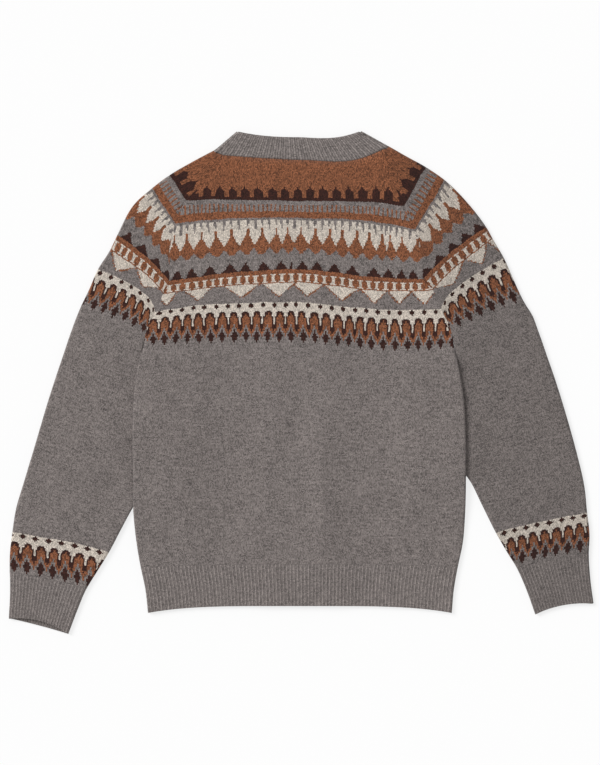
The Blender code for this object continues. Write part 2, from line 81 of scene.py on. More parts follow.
# %% Rows of the body
BodyRow = namedtuple("BodyRow", "course left_x left_y right_x right_y bow power dip")
BODY_ROWS = [
    BodyRow(0, -117.0, 341.0, 124.0, 350.3, -11.9, 1.2, 10.0),      # neck seam
    BodyRow(18, -140.3, 304.5, 135.8, 306.8, -3.4, 4, 1),
    BodyRow(36, -172.5, 273.3, 154.5, 264.8, 3.4, 4, -2.2),          # foot of the comb
    BodyRow(53, -188.3, 238.5, 171.0, 230.0, 12.9, 2.4, -2),        # foot of the rust stripe
    BodyRow(76, -196.8, 194.3, 180.0, 194.3, 15.0, 2, 3.5),         # tips of the cream spikes
    BodyRow(85, -197.3, 180.8, 182.5, 180.8, 13.5, 2, 5),           # foot of the zigzag
    BodyRow(98, -198.0, 152.3, 183.8, 155.3, 16.5, 1.9, 6),         # top of the ladder band
    BodyRow(111, -207.0, 132.8, 198.0, 138.8, 14.5, 2, 9),          # foot of the ladder band
    BodyRow(128, -219.0, 105.8, 210.0, 110.3, 13.0, 3.5, 10.5),     # top of the lice
    BodyRow(145, -230.3, 83.3, 223.5, 83.3, 9.8, 3.5, 10),          # cream drips
    BodyRow(158, -234.9, 63.8, 228.6, 61.0, 8.2, 2.7, 10),          # diamonds
    BodyRow(165, -237.0, 53.3, 231.0, 50.3, 7.2, 2.4, 9.5),         # armpits
    BodyRow(184, -245.1, 23.3, 237.0, 21.8, 7.0, 2.2, 7),
    BodyRow(210, -250.5, -18.8, 243.8, -18.8, 5.0, 2, 3),
    BodyRow(248, -252.8, -78.8, 247.2, -78.8, 4.0, 2, 0),
    BodyRow(285, -252.0, -138.8, 247.5, -138.8, 3.0, 2, 0),
    BodyRow(319, -251.5, -194.3, 246.5, -194.3, 3.0, 2, 0),
    BodyRow(346, -246.8, -240.8, 243.0, -240.8, 4.0, 2, 0),
    BodyRow(368, -240.8, -276.8, 235.5, -276.8, 4.5, 2, 0),         # hem seam
    BodyRow(387, -233.6, -311.3, 229.5, -311.3, 7.5, 3, 0),
    BodyRow(406, -229.8, -345.8, 226.5, -345.8, 10.5, 4, 0),        # hem edge
]
ARMPIT, HEM_SEAM, HEM_EDGE = 165, 368, 406
DIP_POWER = 1.3             # above 1 moves the deepest place of a dip to the right

# %% [markdown]
# The fronts meet the sleeves' undersides in the yoke, and follow the back below the armpits. Their neckline
# is cut lower than the back's, so centre_y is the height of a row at the bands, and uncut_y is where it would
# be if the neckline didn't cut it away.

# %% Rows of the fronts
FrontRow = namedtuple("FrontRow", "course left_x left_y right_x right_y centre_y uncut_y power")
FRONT_YOKE_ROWS = [
    FrontRow(0, -105.0, 297.8, 105.0, 300.8, 259.5, 318, 2.6),
    FrontRow(18, -120.0, 276.8, 120.0, 278.3, 254.0, 296, 2.6),
    FrontRow(36, -138.0, 252.8, 138.0, 252.8, 246.0, 270, 2.4),
    FrontRow(53, -156.0, 215.3, 156.0, 216.8, 232.0, 236, 2.2),
    FrontRow(69, -166.5, 192.8, 166.5, 192.8, 213.0, 213, 2),
    FrontRow(85, -175.5, 168.8, 175.5, 170.3, 191.0, 191, 2),
    FrontRow(98, -184.5, 141.8, 184.5, 144.8, 170.9, 170.9, 2),
    FrontRow(110, -193.5, 125.3, 195.0, 125.3, 150.0, 150, 2),
    FrontRow(130, -207.0, 99.8, 208.5, 99.8, 117.8, 117.8, 2),
    FrontRow(145, -222.0, 75.8, 222.8, 77.3, 93.0, 93, 2),
]
FRONT_ROWS = FRONT_YOKE_ROWS + [
    FrontRow(row.course, row.left_x, row.left_y, row.right_x, row.right_y,
             (row.left_y + row.right_y) / 2 + row.bow, (row.left_y + row.right_y) / 2 + row.bow, row.power)
    for row in BODY_ROWS if row.course >= ARMPIT
]

# %% [markdown]
# A sleeve is one sheet that is folded along the shoulder: fold is that edge, and under is the seam below the
# arm. In the yoke, meets is the body's course that the row is sewn to. bow lifts the upper layer's row next
# to its seam, and pressed is 1 where the body lies on the sleeve.

# %% Rows of the sleeves
YokeRow = namedtuple("YokeRow", "course meets fold_x fold_y bow")
YOKE_ROWS = {
    "left": [
        YokeRow(0, 0, -130.5, 348.5, 0),
        YokeRow(18, 18, -163.5, 331.0, 0),
        YokeRow(36, 36, -196.5, 311.7, 0),
        YokeRow(53, 53, -223.0, 292.0, 0),
        YokeRow(76, 76, -253.5, 263.3, 3),
        YokeRow(98, 98, -275.3, 222.0, 8),
        YokeRow(111, 111, -286.5, 198.8, 12),
        YokeRow(128, 128, -304.5, 170.3, 26),
        YokeRow(149, 142, -318.0, 139.5, 19),
        YokeRow(165, 152, -330.6, 113.3, 4),
        YokeRow(180, 165, -339.8, 90.8, 2),
    ],
    "right": [
        YokeRow(0, 0, 131.6, 354.7, 0),
        YokeRow(18, 18, 162.0, 337.4, 0),
        YokeRow(36, 36, 186.9, 323.6, 0),
        YokeRow(53, 53, 215.3, 304.1, 0),
        YokeRow(76, 76, 248.6, 271.2, 2),
        YokeRow(98, 98, 277.5, 234.0, 9),
        YokeRow(111, 111, 288.0, 215.3, 8),
        YokeRow(128, 128, 304.5, 186.8, 21),
        YokeRow(149, 136, 319.8, 152.5, 6),
        YokeRow(165, 149, 334.0, 122.3, 2),
        YokeRow(182, 165, 348.5, 98.5, 2),
    ],
}
ArmRow = namedtuple("ArmRow", "course under_x under_y fold_x fold_y bow pressed")
ARM_ROWS = {
    "left": [
        ArmRow(188, -239.6, 38.0, -343.6, 80.0, 0, 0.5),
        ArmRow(195, -242.0, 24.3, -347.3, 69.8, 0, 1),
        ArmRow(212, -217.5, -11.3, -356.3, 42.8, 0, 1),
        ArmRow(233, -202.5, -53.3, -367.5, 9.8, 0, 1),
        ArmRow(260, -207.0, -99.8, -381.0, -32.3, 0, 1),
        ArmRow(297, -225.0, -146.3, -398.3, -90.8, 0, 1),
        ArmRow(335, -251.7, -186.8, -416.3, -150.8, 0, 1),
        ArmRow(360, -270.0, -220.5, -427.8, -189.8, 2, 0),
        ArmRow(382, -288.0, -254.8, -433.2, -224.0, 6, 0),      # top of the patterned band
        ArmRow(401, -305.3, -282.8, -436.8, -255.8, 7, 0),
        ArmRow(419, -321.8, -309.8, -437.3, -284.3, 4, 0),      # cuff seam
        ArmRow(441, -335.3, -341.3, -437.3, -320.3, 2, 0),
        ArmRow(462, -349.1, -377.5, -439.1, -354.3, 0, 0),      # mouth
    ],
    "right": [
        ArmRow(192, 232.8, 36.0, 354.2, 82.7, 0, 0.5),
        ArmRow(202, 234.4, 22.8, 360.0, 66.8, 0, 1),
        ArmRow(221, 208.5, -11.3, 369.8, 38.3, 0, 1),
        ArmRow(243, 194.3, -51.8, 381.8, 3.8, 0, 1),
        ArmRow(269, 202.5, -90.8, 394.5, -36.8, 0, 1),
        ArmRow(292, 223.5, -119.3, 405.0, -72.8, 0, 1),
        ArmRow(317, 250.5, -143.3, 415.5, -111.8, 0, 1),
        ArmRow(344, 273.0, -186.8, 425.3, -155.3, 2, 0),
        ArmRow(369, 292.5, -225.8, 429.5, -195.0, 5, 0),        # top of the patterned band
        ArmRow(389, 309.0, -254.3, 433.1, -227.3, 5, 0),
        ArmRow(408, 323.7, -278.3, 432.0, -258.0, 4, 0),        # cuff seam
        ArmRow(430, 338.3, -311.3, 434.3, -294.8, 2, 0),
        ArmRow(453, 351.5, -348.2, 439.1, -331.4, 0, 0),        # mouth
    ],
}
CUFF_SEAM = {"left": 419, "right": 408}
MOUTH = {"left": 462, "right": 453}
CUFF_BAND = {"left": 382, "right": 369}         # first course of the patterned band above the cuff
YOKE_STITCH = {"left": 2.05, "right": 2.3}      # width of a stitch in the sleeve's yoke
CUFF_STITCH = {"left": 2.45, "right": 2.2}      # and above its cuff
WIDENS_AT = 128                                 # course from which it changes

# %% [markdown]
# ## A curve down a table
# A Hermite curve passes through every value in a column and takes its slope from the neighbours, so the
# garment's outline has no corners where the table has its rows. NumPy works on all the points at once.

# %% Smooth columns
def spline(knots, values, at):
    """A smooth curve through the values of a column."""
    knots = np.asarray(knots, float)
    values = np.asarray(values, float)
    at = np.asarray(at, float)
    slopes = np.gradient(values, knots)
    cell = np.clip(np.searchsorted(knots, at, side="right") - 1, 0, len(knots) - 2)
    span = knots[cell + 1] - knots[cell]
    t = (at - knots[cell]) / span
    start = (2 * t ** 3 - 3 * t ** 2 + 1) * values[cell] + (t ** 3 - 2 * t ** 2 + t) * span * slopes[cell]
    end = (3 * t ** 2 - 2 * t ** 3) * values[cell + 1] + (t ** 3 - t ** 2) * span * slopes[cell + 1]
    return start + end


def column(rows, name, at):
    """A column of a table, read smoothly at any course."""
    return spline([row.course for row in rows], [getattr(row, name) for row in rows], at)


def smooth(value):
    """0 below 0, 1 above 1, and a soft step between."""
    value = np.clip(value, 0.0, 1.0)
    return value * value * (3 - 2 * value)


# %% [markdown]
# ## How high the cloth lies
# Two layers of wool lie 7 mm thick. Along a seam that closes an edge the cloth turns down in a quarter
# round. Below the armpits the body lies on the sleeves and is lifted by them, and down its middle the
# lapped bands of the closed front raise the back a little.

# %% Lift, ridge and edges
BODY_LIFT = 5.5             # how far a sleeve lifts the body's side
BESIDE = 22.0               # length below the armpits over which the lift grows
LIFT_FLAT = 62.0            # width of the lifted strip
LIFT_FADE = 75.0            # width of its slope towards the middle
LIFT_FADE_ALONG = 85.0      # length of its slope where the sleeve comes out from under the body
SLEEVE_LEAVES = {"left": -190.0, "right": -145.0}       # Y where it does so
RIDGE = 2.6                 # how far the lapped bands lift the back
RIDGE_HALF = 100.0          # half the width of that ridge at its foot
RIDGE_SLOPE = 65.0          # width of each of its slopes
RIDGE_END = 336.8           # Y where it has faded out, above the bands
RIDGE_FADE = 40.0           # length of that fade
BAND_WIDTH = 30.0
BAND_TOP = 291.8            # Y of the bands' upper end
BAND_FOOT = -335.3          # Y of their lower end
FRONT_RAMP = 62.0           # from the centre line to where a front starts to rise to its band
BUTTON_THICK = 2.4
# the bands lie one on the other, on the buttons: the height of the middle of each one's wall
BAND_Z = {"left": BUTTON_THICK + SEAM + WALL / 2, "right": BUTTON_THICK + 2 * SEAM + 1.5 * WALL}


def lift(x, y):
    """How far the body is lifted by the sleeve under its side."""
    total = np.zeros(np.broadcast(x, y).shape)
    for side, sign in (("left", -1), ("right", 1)):
        below = [row for row in BODY_ROWS if row.course >= ARMPIT]
        ys = [getattr(row, side + "_y") for row in below][::-1]
        xs = [getattr(row, side + "_x") for row in below][::-1]
        inward = np.abs(np.interp(y, ys, xs) - x)
        along = smooth((ys[-1] - y) / BESIDE) * smooth(1 - (SLEEVE_LEAVES[side] - y) / LIFT_FADE_ALONG)
        total += (x * sign > 0) * along * smooth(1 - (inward - LIFT_FLAT) / LIFT_FADE)
    return BODY_LIFT * total


def ridge(x, y):
    """How far the lapped bands lift the back."""
    return RIDGE * smooth((RIDGE_HALF - np.abs(x)) / RIDGE_SLOPE) * smooth((RIDGE_END - y) / RIDGE_FADE)


def front_rise(x):
    """How far a front rises to meet its band."""
    band_z = np.where(x < 0, BAND_Z["left"], BAND_Z["right"])
    ramp = smooth((FRONT_RAMP - np.abs(x)) / (FRONT_RAMP - BAND_WIDTH / 2))
    return (band_z - WALL / 2) * ramp


def quarter_round(distance, thick):
    """Height of the outer surface above the middle of two layers, at a distance in from a closed edge."""
    radius = thick / 2
    inward = np.clip(distance, 0, radius)
    return np.sqrt(np.maximum(radius ** 2 - (radius - inward) ** 2, 0))


SEAM_DIP = 0.45             # the cloth is drawn down this far into an open seam
SEAM_DIP_WIDTH = 3.2
CLOSES_OVER = 10            # courses above the armpits over which the edges turn down


def edge_height(distance, thick, course):
    """The same, but the edge stays level in the yoke, where its seam joins one layer to one layer."""
    closed = quarter_round(distance, thick)
    level = thick / 2 - SEAM_DIP * np.exp(-(distance / SEAM_DIP_WIDTH) ** 2)
    return level + (closed - level) * smooth((course - (ARMPIT - CLOSES_OVER)) / CLOSES_OVER)


# %% [markdown]
# ## Creases
# Knitwear has few creases when it is laid out flat. Those that show are soft: a step along the edge of the
# button band, and shallow troughs that run in from the armpits and down the sleeves. Each is a row of the
# table, with its ends, its half width and its height, where a trough is negative. It is lower at its ends
# than in its middle. A few long waves of a quarter of a millimetre keep the rest from looking ironed.

# %% Creases and waves
Crease = namedtuple("Crease", "x0 y0 x1 y1 half_width height")
CREASES = [
    Crease(29, -45, 30, -272, 24, 3.6),             # edge of the button band, under the back
    Crease(30, -60, 30, -268, 10, 1.8),
    Crease(-216, -150, -192, -268, 12, -1.5),       # lower left of the back
    Crease(-236, -190, -214, -270, 9, -1.2),
    Crease(-176, 30, -184, -60, 14, -1.1),          # below the left armpit
    Crease(-205, 48, -160, 20, 16, -1.0),           # left armpit
    Crease(-178, 36, -166, -8, 12, -0.9),
    Crease(203, 45, 168, 12, 16, -1.0),             # right armpit
    Crease(222, -5, 196, -70, 14, -0.7),
    Crease(-125, -70, -98, -140, 18, -0.6),
    Crease(98, -20, 120, -120, 22, -0.5),
    Crease(155, -150, 178, -245, 16, -0.6),
    Crease(-250, 40, -256, -150, 14, -1.8),         # sleeves, beside the body
    Crease(246, 48, 262, -40, 11, -1.8),
    Crease(-350, 20, -392, -120, 16, -0.4),
    Crease(-395, -150, -410, -215, 10, -0.4),
    Crease(300, 60, 322, -30, 14, -0.5),
    Crease(345, 10, 382, -110, 16, -0.4),
    Crease(392, -140, 402, -205, 10, -0.4),
    Crease(300, -150, 322, -215, 9, -0.5),
]
Wave = namedtuple("Wave", "length_x length_y phase height")
WAVES = [
    Wave(170, 240, 0.6, 0.25),
    Wave(-95, 130, 2.1, 0.18),
    Wave(62, -210, 4.0, 0.14),
    Wave(48, 57, 1.2, 0.08),
]
CREASE_ENDS = 0.35          # share of its height that a crease has at its ends


def relief(x, y):
    """Height of the creases and waves at a place on the top."""
    total = np.zeros(np.broadcast(x, y).shape)
    for c in CREASES:
        run = np.array([c.x1 - c.x0, c.y1 - c.y0])
        share = np.clip(((x - c.x0) * run[0] + (y - c.y0) * run[1]) / (run @ run), 0, 1)
        away = np.hypot(x - c.x0 - share * run[0], y - c.y0 - share * run[1])
        along = CREASE_ENDS + (1 - CREASE_ENDS) * np.sin(math.pi * share) ** 0.7
        total += c.height * np.exp(-(away / c.half_width) ** 2) * along
    for w in WAVES:
        total += w.height * np.sin(2 * math.pi * (x / w.length_x + y / w.length_y) + w.phase)
    return total


# %% [markdown]
# ## Where a stitch lies
# Each panel has a function that takes a stitch number and a course and returns a point on the outside of
# the cloth. On the back the stitches are counted from the middle wale. On a sleeve they are counted from
# the fold: up over the top layer towards the back, and down under it towards the front.

# %% A place on the back
EDGE_CALM = 12.0            # creases fade out over this distance from the back's edges


def back_ends(course):
    """The first and last stitch of a course of the back, and the width of a stitch."""
    left = column(BODY_ROWS, "left_x", course) + SEAM / 2
    right = column(BODY_ROWS, "right_x", course) - SEAM / 2
    return (left - CENTRE_X) / STITCH, (right - CENTRE_X) / STITCH, STITCH


def back_point(stitch, course):
    """A point on the top of the back or its hem."""
    x = CENTRE_X + np.asarray(stitch, float) * STITCH
    left, right = column(BODY_ROWS, "left_x", course), column(BODY_ROWS, "right_x", course)
    left_y, right_y = column(BODY_ROWS, "left_y", course), column(BODY_ROWS, "right_y", course)
    share = np.clip((x - left) / (right - left), 0, 1)
    bow = column(BODY_ROWS, "bow", course) * (1 - np.abs(2 * share - 1) ** column(BODY_ROWS, "power", course))
    dip = column(BODY_ROWS, "dip", course) * np.sin(math.pi * np.clip(2 * share - 1, 0, 1) ** DIP_POWER)
    y = left_y + (right_y - left_y) * share + bow - dip
    distance = np.minimum(x - left, right - x) - SEAM / 2
    creased = relief(x, y) * smooth(distance / EDGE_CALM)
    z = THICK / 2 + edge_height(distance, THICK, course) + lift(x, y) + ridge(x, y) + creased
    return np.stack([x, y, z], -1)


# %% [markdown]
# A sleeve takes its ends from the panels that it is sewn to, so the seams can't open. Its courses' lengths
# are measured along the upper layer, which bows, and the stitches are spaced evenly along them.

# %% The table of a sleeve
SLEEVE_COLUMNS = "course meets upper_x upper_y lower_x lower_y fold_x fold_y bow pressed stitch"
SleeveRow = namedtuple("SleeveRow", SLEEVE_COLUMNS)


def stitch_width(side, course):
    """The width of a sleeve's stitch, which changes slowly down the arm."""
    share = min(max((course - WIDENS_AT) / (CUFF_BAND[side] - WIDENS_AT), 0), 1)
    return YOKE_STITCH[side] + (CUFF_STITCH[side] - YOKE_STITCH[side]) * share


def sleeve_table(side):
    """A sleeve's rows, with both ends, from the tables of the panels that it is sewn to."""
    rows = []
    for yoke in YOKE_ROWS[side]:
        back_end = [float(column(BODY_ROWS, side + axis, yoke.meets)) for axis in ("_x", "_y")]
        front_end = [float(column(FRONT_ROWS, side + axis, yoke.meets)) for axis in ("_x", "_y")]
        rows.append(SleeveRow(yoke.course, yoke.meets, *back_end, *front_end, yoke.fold_x, yoke.fold_y,
                              yoke.bow, 0, stitch_width(side, yoke.course)))
    armpit = rows[-1].course
    for arm in ARM_ROWS[side]:
        rows.append(SleeveRow(arm.course, ARMPIT + arm.course - armpit, arm.under_x, arm.under_y, arm.under_x,
                              arm.under_y, arm.fold_x, arm.fold_y, arm.bow, arm.pressed,
                              stitch_width(side, arm.course)))
    return rows


SLEEVES = {side: sleeve_table(side) for side in ("left", "right")}

# %% [markdown]
# At the shoulder the sheet turns over in a half round as thick as both layers. hinge is the middle of that
# round, and outward points from it out of the fold. From there the lower layer runs straight to its seam,
# and the upper one may bow up the arm, most of all close to its seam.

# %% The frame of a course
FOLD_RADIUS = THICK / 2
FOLD_HALF = math.pi * FOLD_RADIUS / 2           # length of the cloth from a fold's rim to level
BEND_AT = 0.78                                  # where along a row its bow pulls
SHARES = np.linspace(0, 1, 25)                  # places along a row where its length is measured


def row_curve(f, share):
    """A place on the upper layer's row, at a share of the straight way from the fold to the seam."""
    t = (np.sqrt(BEND_AT ** 2 + (1 - 2 * BEND_AT) * share) - BEND_AT) / (1 - 2 * BEND_AT)
    return f["hinge"] + f["chord"] * share[..., None] + f["square"] * (2 * t * (1 - t) * f["bow"])[..., None]


def sleeve_frame(side, course):
    """Everything that a course of a sleeve needs: its hinge, ends, lengths and the way out of the fold."""
    rows = SLEEVES[side]
    get = {name: column(rows, name, course) for name in SleeveRow._fields[1:]}
    low, high = rows[0].course, rows[-1].course
    before, after = np.clip(course - 1.0, low, high), np.clip(course + 1.0, low, high)
    along = np.stack([column(rows, "fold_x", after) - column(rows, "fold_x", before),
                      column(rows, "fold_y", after) - column(rows, "fold_y", before)], -1)
    along /= np.linalg.norm(along, axis=-1, keepdims=True)
    outward = np.stack([along[..., 1], -along[..., 0]], -1) * (1 if side == "left" else -1)
    hinge = np.stack([get["fold_x"], get["fold_y"]], -1) - outward * FOLD_RADIUS
    lower = np.stack([get["lower_x"], get["lower_y"]], -1)
    chord = np.stack([get["upper_x"], get["upper_y"]], -1) - hinge
    square = np.stack([-chord[..., 1], chord[..., 0]], -1)
    square /= np.linalg.norm(square, axis=-1, keepdims=True)
    square *= np.where(square[..., 1:] < 0, -1, 1)
    f = dict(get, outward=outward, hinge=hinge, lower=lower, chord=chord, square=square)
    line = np.stack([row_curve(f, share + np.zeros(np.shape(get["bow"]))) for share in SHARES])
    steps = np.linalg.norm(np.diff(line, axis=0), axis=-1)
    f["lengths"] = np.concatenate([np.zeros((1,) + steps.shape[1:]), np.cumsum(steps, axis=0)])
    f["lower_length"] = np.linalg.norm(lower - hinge, axis=-1)
    return f


def sleeve_ends(side):
    """The function that gives a course's first and last stitch on this sleeve, and a stitch's width."""
    def ends(course):
        f = sleeve_frame(side, np.asarray(float(course)))
        low = -(FOLD_HALF + f["lower_length"] - SEAM / 2) / f["stitch"]
        high = (FOLD_HALF + f["lengths"][-1] - SEAM / 2) / f["stitch"]
        return float(low), float(high), float(f["stitch"])
    return ends


# %% [markdown]
# With that frame, a stitch's distance along the cloth from the fold is enough to place it: in the round, on
# the upper layer or on the lower one. Where the body lies on it, the sleeve is pressed thinner.

# %% A place on a sleeve
PRESSED_TO = 0.3                                # share of a row, from its seam, that the body lies on
SQUEEZE_FADE = {"left": 0.1, "right": 0.45}     # how soon the sleeve is full again beside the body
PRESSED_CALM = 0.8                              # how much of a crease the body presses out
SLEEVE_CALM = 10.0                              # creases fade out over this distance from its edges
MOUTH_BOW = {"left": (8.0, 1.0), "right": (6.0, 5.5)}      # of the upper and the lower layer


def sleeve_point(side, stitch, course):
    """A point on the outside of a sleeve or its cuff."""
    course = np.asarray(course, float) + np.zeros(np.shape(stitch))
    f = sleeve_frame(side, course)
    arc = np.asarray(stitch, float) * f["stitch"]
    top = arc > 0
    angle = np.clip(arc / FOLD_RADIUS, -math.pi / 2, math.pi / 2)
    run = np.maximum(np.abs(arc) - FOLD_HALF, 0)
    length = np.where(top, f["lengths"][-1], f["lower_length"])
    run = np.minimum(run, length)
    cell = np.clip((f["lengths"] <= run).sum(0) - 1, 0, len(SHARES) - 2)
    start = np.take_along_axis(f["lengths"], cell[None], 0)[0]
    stop = np.take_along_axis(f["lengths"], cell[None] + 1, 0)[0]
    curved = row_curve(f, np.clip((cell + (run - start) / (stop - start)) / (len(SHARES) - 1), 0, 1))
    straight = f["hinge"] + (f["lower"] - f["hinge"]) * (run / length)[..., None]
    place = np.where(top[..., None], curved, straight)
    place = place + f["outward"] * (FOLD_RADIUS * np.cos(angle))[..., None] * (run <= 0)[..., None]
    share = 1 - run / length                                # 0 at the seam, 1 at the fold
    squeeze = np.clip(f["pressed"], 0, 1) * (1 - smooth((share - PRESSED_TO) / SQUEEZE_FADE[side]))
    thick = THICK - (THICK - PRESSED_THICK) * squeeze
    at_mouth = smooth((course - CUFF_SEAM[side]) / (MOUTH[side] - CUFF_SEAM[side]))
    bow = np.where(top, *MOUTH_BOW[side]) * at_mouth * 4 * share * (1 - share)
    across = f["lower"] - f["hinge"]
    across = across / np.linalg.norm(across, axis=-1, keepdims=True)
    up_arm = np.stack([across[..., 1], -across[..., 0]], -1)
    up_arm = up_arm * np.where(up_arm[..., 1:] < 0, -1, 1)
    place = place + up_arm * bow[..., None]
    half = edge_height(length - run - SEAM / 2, thick, f["meets"])
    rise = np.where(np.abs(angle) < math.pi / 2 - 1e-6, FOLD_RADIUS * np.abs(np.sin(angle)), half)
    inside = smooth(run / SLEEVE_CALM) * smooth((length - run) / SLEEVE_CALM)
    creased = relief(place[..., 0], place[..., 1]) * inside
    flattened = PRESSED_CALM * np.clip(f["pressed"], 0, 1) * (1 - smooth((share - PRESSED_TO) / 0.1))
    z = thick / 2 + np.where(top, rise + creased * (1 - flattened), -rise)
    return np.stack([place[..., 0], place[..., 1], z], -1)


# %% [markdown]
# ## The charts
# A knitter's chart has a letter for each stitch: G grey, R rust, D dark brown and C cream. Each line here
# gives how many courses it is knitted for and the stitches that repeat across. The first stitch of a line
# lies on the middle wale. The band of lice and chevrons is used again above the cuffs.

# %% Charts
Line = namedtuple("Line", "courses stitches")
LICE_BAND = [
    Line(1, "DCCCCCCC"), Line(3, "DDCCCCCD"), Line(1, "DCCCCCCC"), Line(3, "C"),
    Line(1, "CCCDDDCC"), Line(1, "CCDDDDDC"), Line(2, "CCDDRDDC"), Line(1, "CCDRRRDC"), Line(1, "CDDRRRDD"),
    Line(6, "CDRRRRRD"), Line(3, "DDRRGRRD"), Line(1, "DDRGGGRD"), Line(2, "DRRGDGRR"),
    Line(1, "RRGGDGGR"), Line(1, "RRGDDDGR"), Line(1, "RGGDDDGG"), Line(2, "RGDDDDDG"),
    Line(3, "GGGDDDGG"), Line(2, "GGGGDGGG"),
]
CUFF_CHART = [
    Line(1, "DCCCCCCC"), Line(1, "DDCCCCCD"), Line(1, "DDDCCCDD"), Line(1, "DDCCCCCD"), Line(1, "DCCCCCCC"),
    Line(3, "C"), Line(1, "CCCDDDCC"), Line(1, "CCDDDDDC"), Line(2, "CCDDRDDC"), Line(1, "CDDRRRDD"),
    Line(5, "CDRRRRRD"), Line(3, "DDRRGRRD"), Line(2, "DDRGGGRD"), Line(2, "DRRGDGRR"),
    Line(2, "RRGDDDGR"), Line(1, "RGGDDDGG"), Line(3, "RGDDDDDG"), Line(3, "GGGDDDGG"), Line(2, "GGGGDGGG"),
]
YOKE = [
    Line(23, "R"),
    Line(2, "DRRRRRRRR"), Line(1, "DDRRRRRRD"), Line(1, "DDDRRRRDD"), Line(6, "DDDDRRRDD"), Line(3, "D"),
    Line(4, "G"), Line(7, "RGG"), Line(6, "R"), Line(2, "G"),
    Line(30, "spikes"), Line(6, "G"), Line(7, "dark triangles"),
    Line(4, "R"), Line(1, "CCCCRR"), Line(6, "RCCRRR"), Line(1, "CCCCRR"), Line(1, "R"),
]
SPIKES_AT = 55              # first course of the cream and rust spikes
SPIKE_COURSES = 30
PEAKS_AT = 91               # first course of the dark triangles that stand on the ladder band
PEAK_HEIGHT = 7
TRIANGLES_AT = 111          # first course of the cream triangles that hang from the ladder band
TRIANGLE_DEPTH = 11         # their height in courses
LICE_AT = 128               # first course of the band of lice
YARNS = "GRDC"


def courses_of(chart):
    """A chart with one entry for each course."""
    return [line.stitches for line in chart for _ in range(line.courses)]


YOKE_COURSES = courses_of(YOKE)
LICE_COURSES = courses_of(LICE_BAND)
CUFF_COURSES = courses_of(CUFF_CHART)
print("The yoke's chart has", len(YOKE_COURSES), "courses and the lice band", len(LICE_COURSES))

# %% [markdown]
# The spikes, and the triangles above and below the ladder band, aren't evenly spaced: they were fitted
# between the seams by eye. So each has its own middle, and each triangle its half width, in stitches. Those
# of the back are counted from the middle wale, those of a sleeve from its fold, with the underside below 0.

# %% Spikes
SPIKES = {
    "back": [
        -103, -93, -84.4, -75.7, -65.6, -55.9, -44.8, -34.4, -23.6, -13.5, -5.6, 3.5, 12.8, 22.6, 31.9, 41.7,
        51, 59.7, 65.6, 73.6, 83.7, 93, 102,
    ],
    "left": [-64, -55, -46, -37, -28, -19, -8, 2, 11.3, 20.4, 29.3, 38.8, 48.5, 58],
    "right": [-64, -55, -46, -37, -28, -19, -8, 2.3, 12.2, 21.4, 30.4, 41, 54, 64],
    "front": [9 * n + 4 for n in range(-13, 13)],
}
LONG_GAP, SHORT_GAP = (4, 8), (3, 5)    # courses down which a grey gap is two stitches wide, then one
TIP_AT = 7                              # course of the rust tips
TIP_HALF = 0.9                          # half the width of a tip
SPREAD_AT, SPREADS_OVER = 12, 9         # courses over which the rust takes all of the cream
POINTS_AT = 25                          # course where the rust starts to end in points
POINT_SLOPE = 0.7                       # stitches that a point narrows by in a course, on each side


def in_gap(gap, away, drop):
    """Whether a stitch lies in a grey gap that is this far away."""
    return drop < gap[1] and away < (1.0 if drop < gap[0] else 0.6)


def spike_yarn(spikes, stitch, drop):
    """The yarn of a stitch among rust spikes. drop counts courses from the first cream one."""
    at = stitch + 0.5
    after = next(n for n, middle in enumerate(spikes) if middle > at)
    half = (spikes[after] - spikes[after - 1]) / 2
    away = min(at - spikes[after - 1], spikes[after] - at)      # from the nearest spike
    if drop >= POINTS_AT:
        return "G" if half - away < POINT_SLOPE * (drop - POINTS_AT + 1) else "R"
    if in_gap(SHORT_GAP, away, drop) or in_gap(LONG_GAP, half - away, drop):
        return "G"
    reach = TIP_HALF + max(drop - SPREAD_AT, 0) * (half - TIP_HALF) / SPREADS_OVER
    return "R" if drop >= TIP_AT and away < reach else "C"


# %% [markdown]
# The dark triangles stand on the ladder band and the cream ones hang from it, with a dotted rust outline. A
# triangle's edges are straight lines in stitches and courses, so every stitch can tell which side it is on.

# %% Triangles
Triangle = namedtuple("Triangle", "middle half")
PEAKS = {
    "back": [
        Triangle(-83, 3.5), Triangle(-72.6, 4.5), Triangle(-60.4, 5.4), Triangle(-46.5, 5.2),
        Triangle(-35, 4.5), Triangle(-22.2, 4.2), Triangle(-10.8, 4.2), Triangle(-3.8, 1.2),
        Triangle(3.5, 4.4), Triangle(14.6, 4.5), Triangle(26.4, 4.5), Triangle(39.2, 5.2),
        Triangle(53.5, 4.7), Triangle(63.9, 4.2), Triangle(72.2, 3.8), Triangle(81.3, 4.2),
    ],
    "left": [Triangle(9, 5.5), Triangle(23, 5.5), Triangle(37, 5.5), Triangle(48.5, 4)]
            + [Triangle(-12 * n - 4, 5) for n in range(5)],
    "right": [Triangle(5.3, 4.6), Triangle(16.3, 4.6), Triangle(26.8, 4.6), Triangle(38.7, 4.8),
              Triangle(50.4, 4.6)] + [Triangle(-12 * n - 6, 5) for n in range(5)],
    "front": [Triangle(12 * n + 6, 5) for n in range(-9, 9)],
}
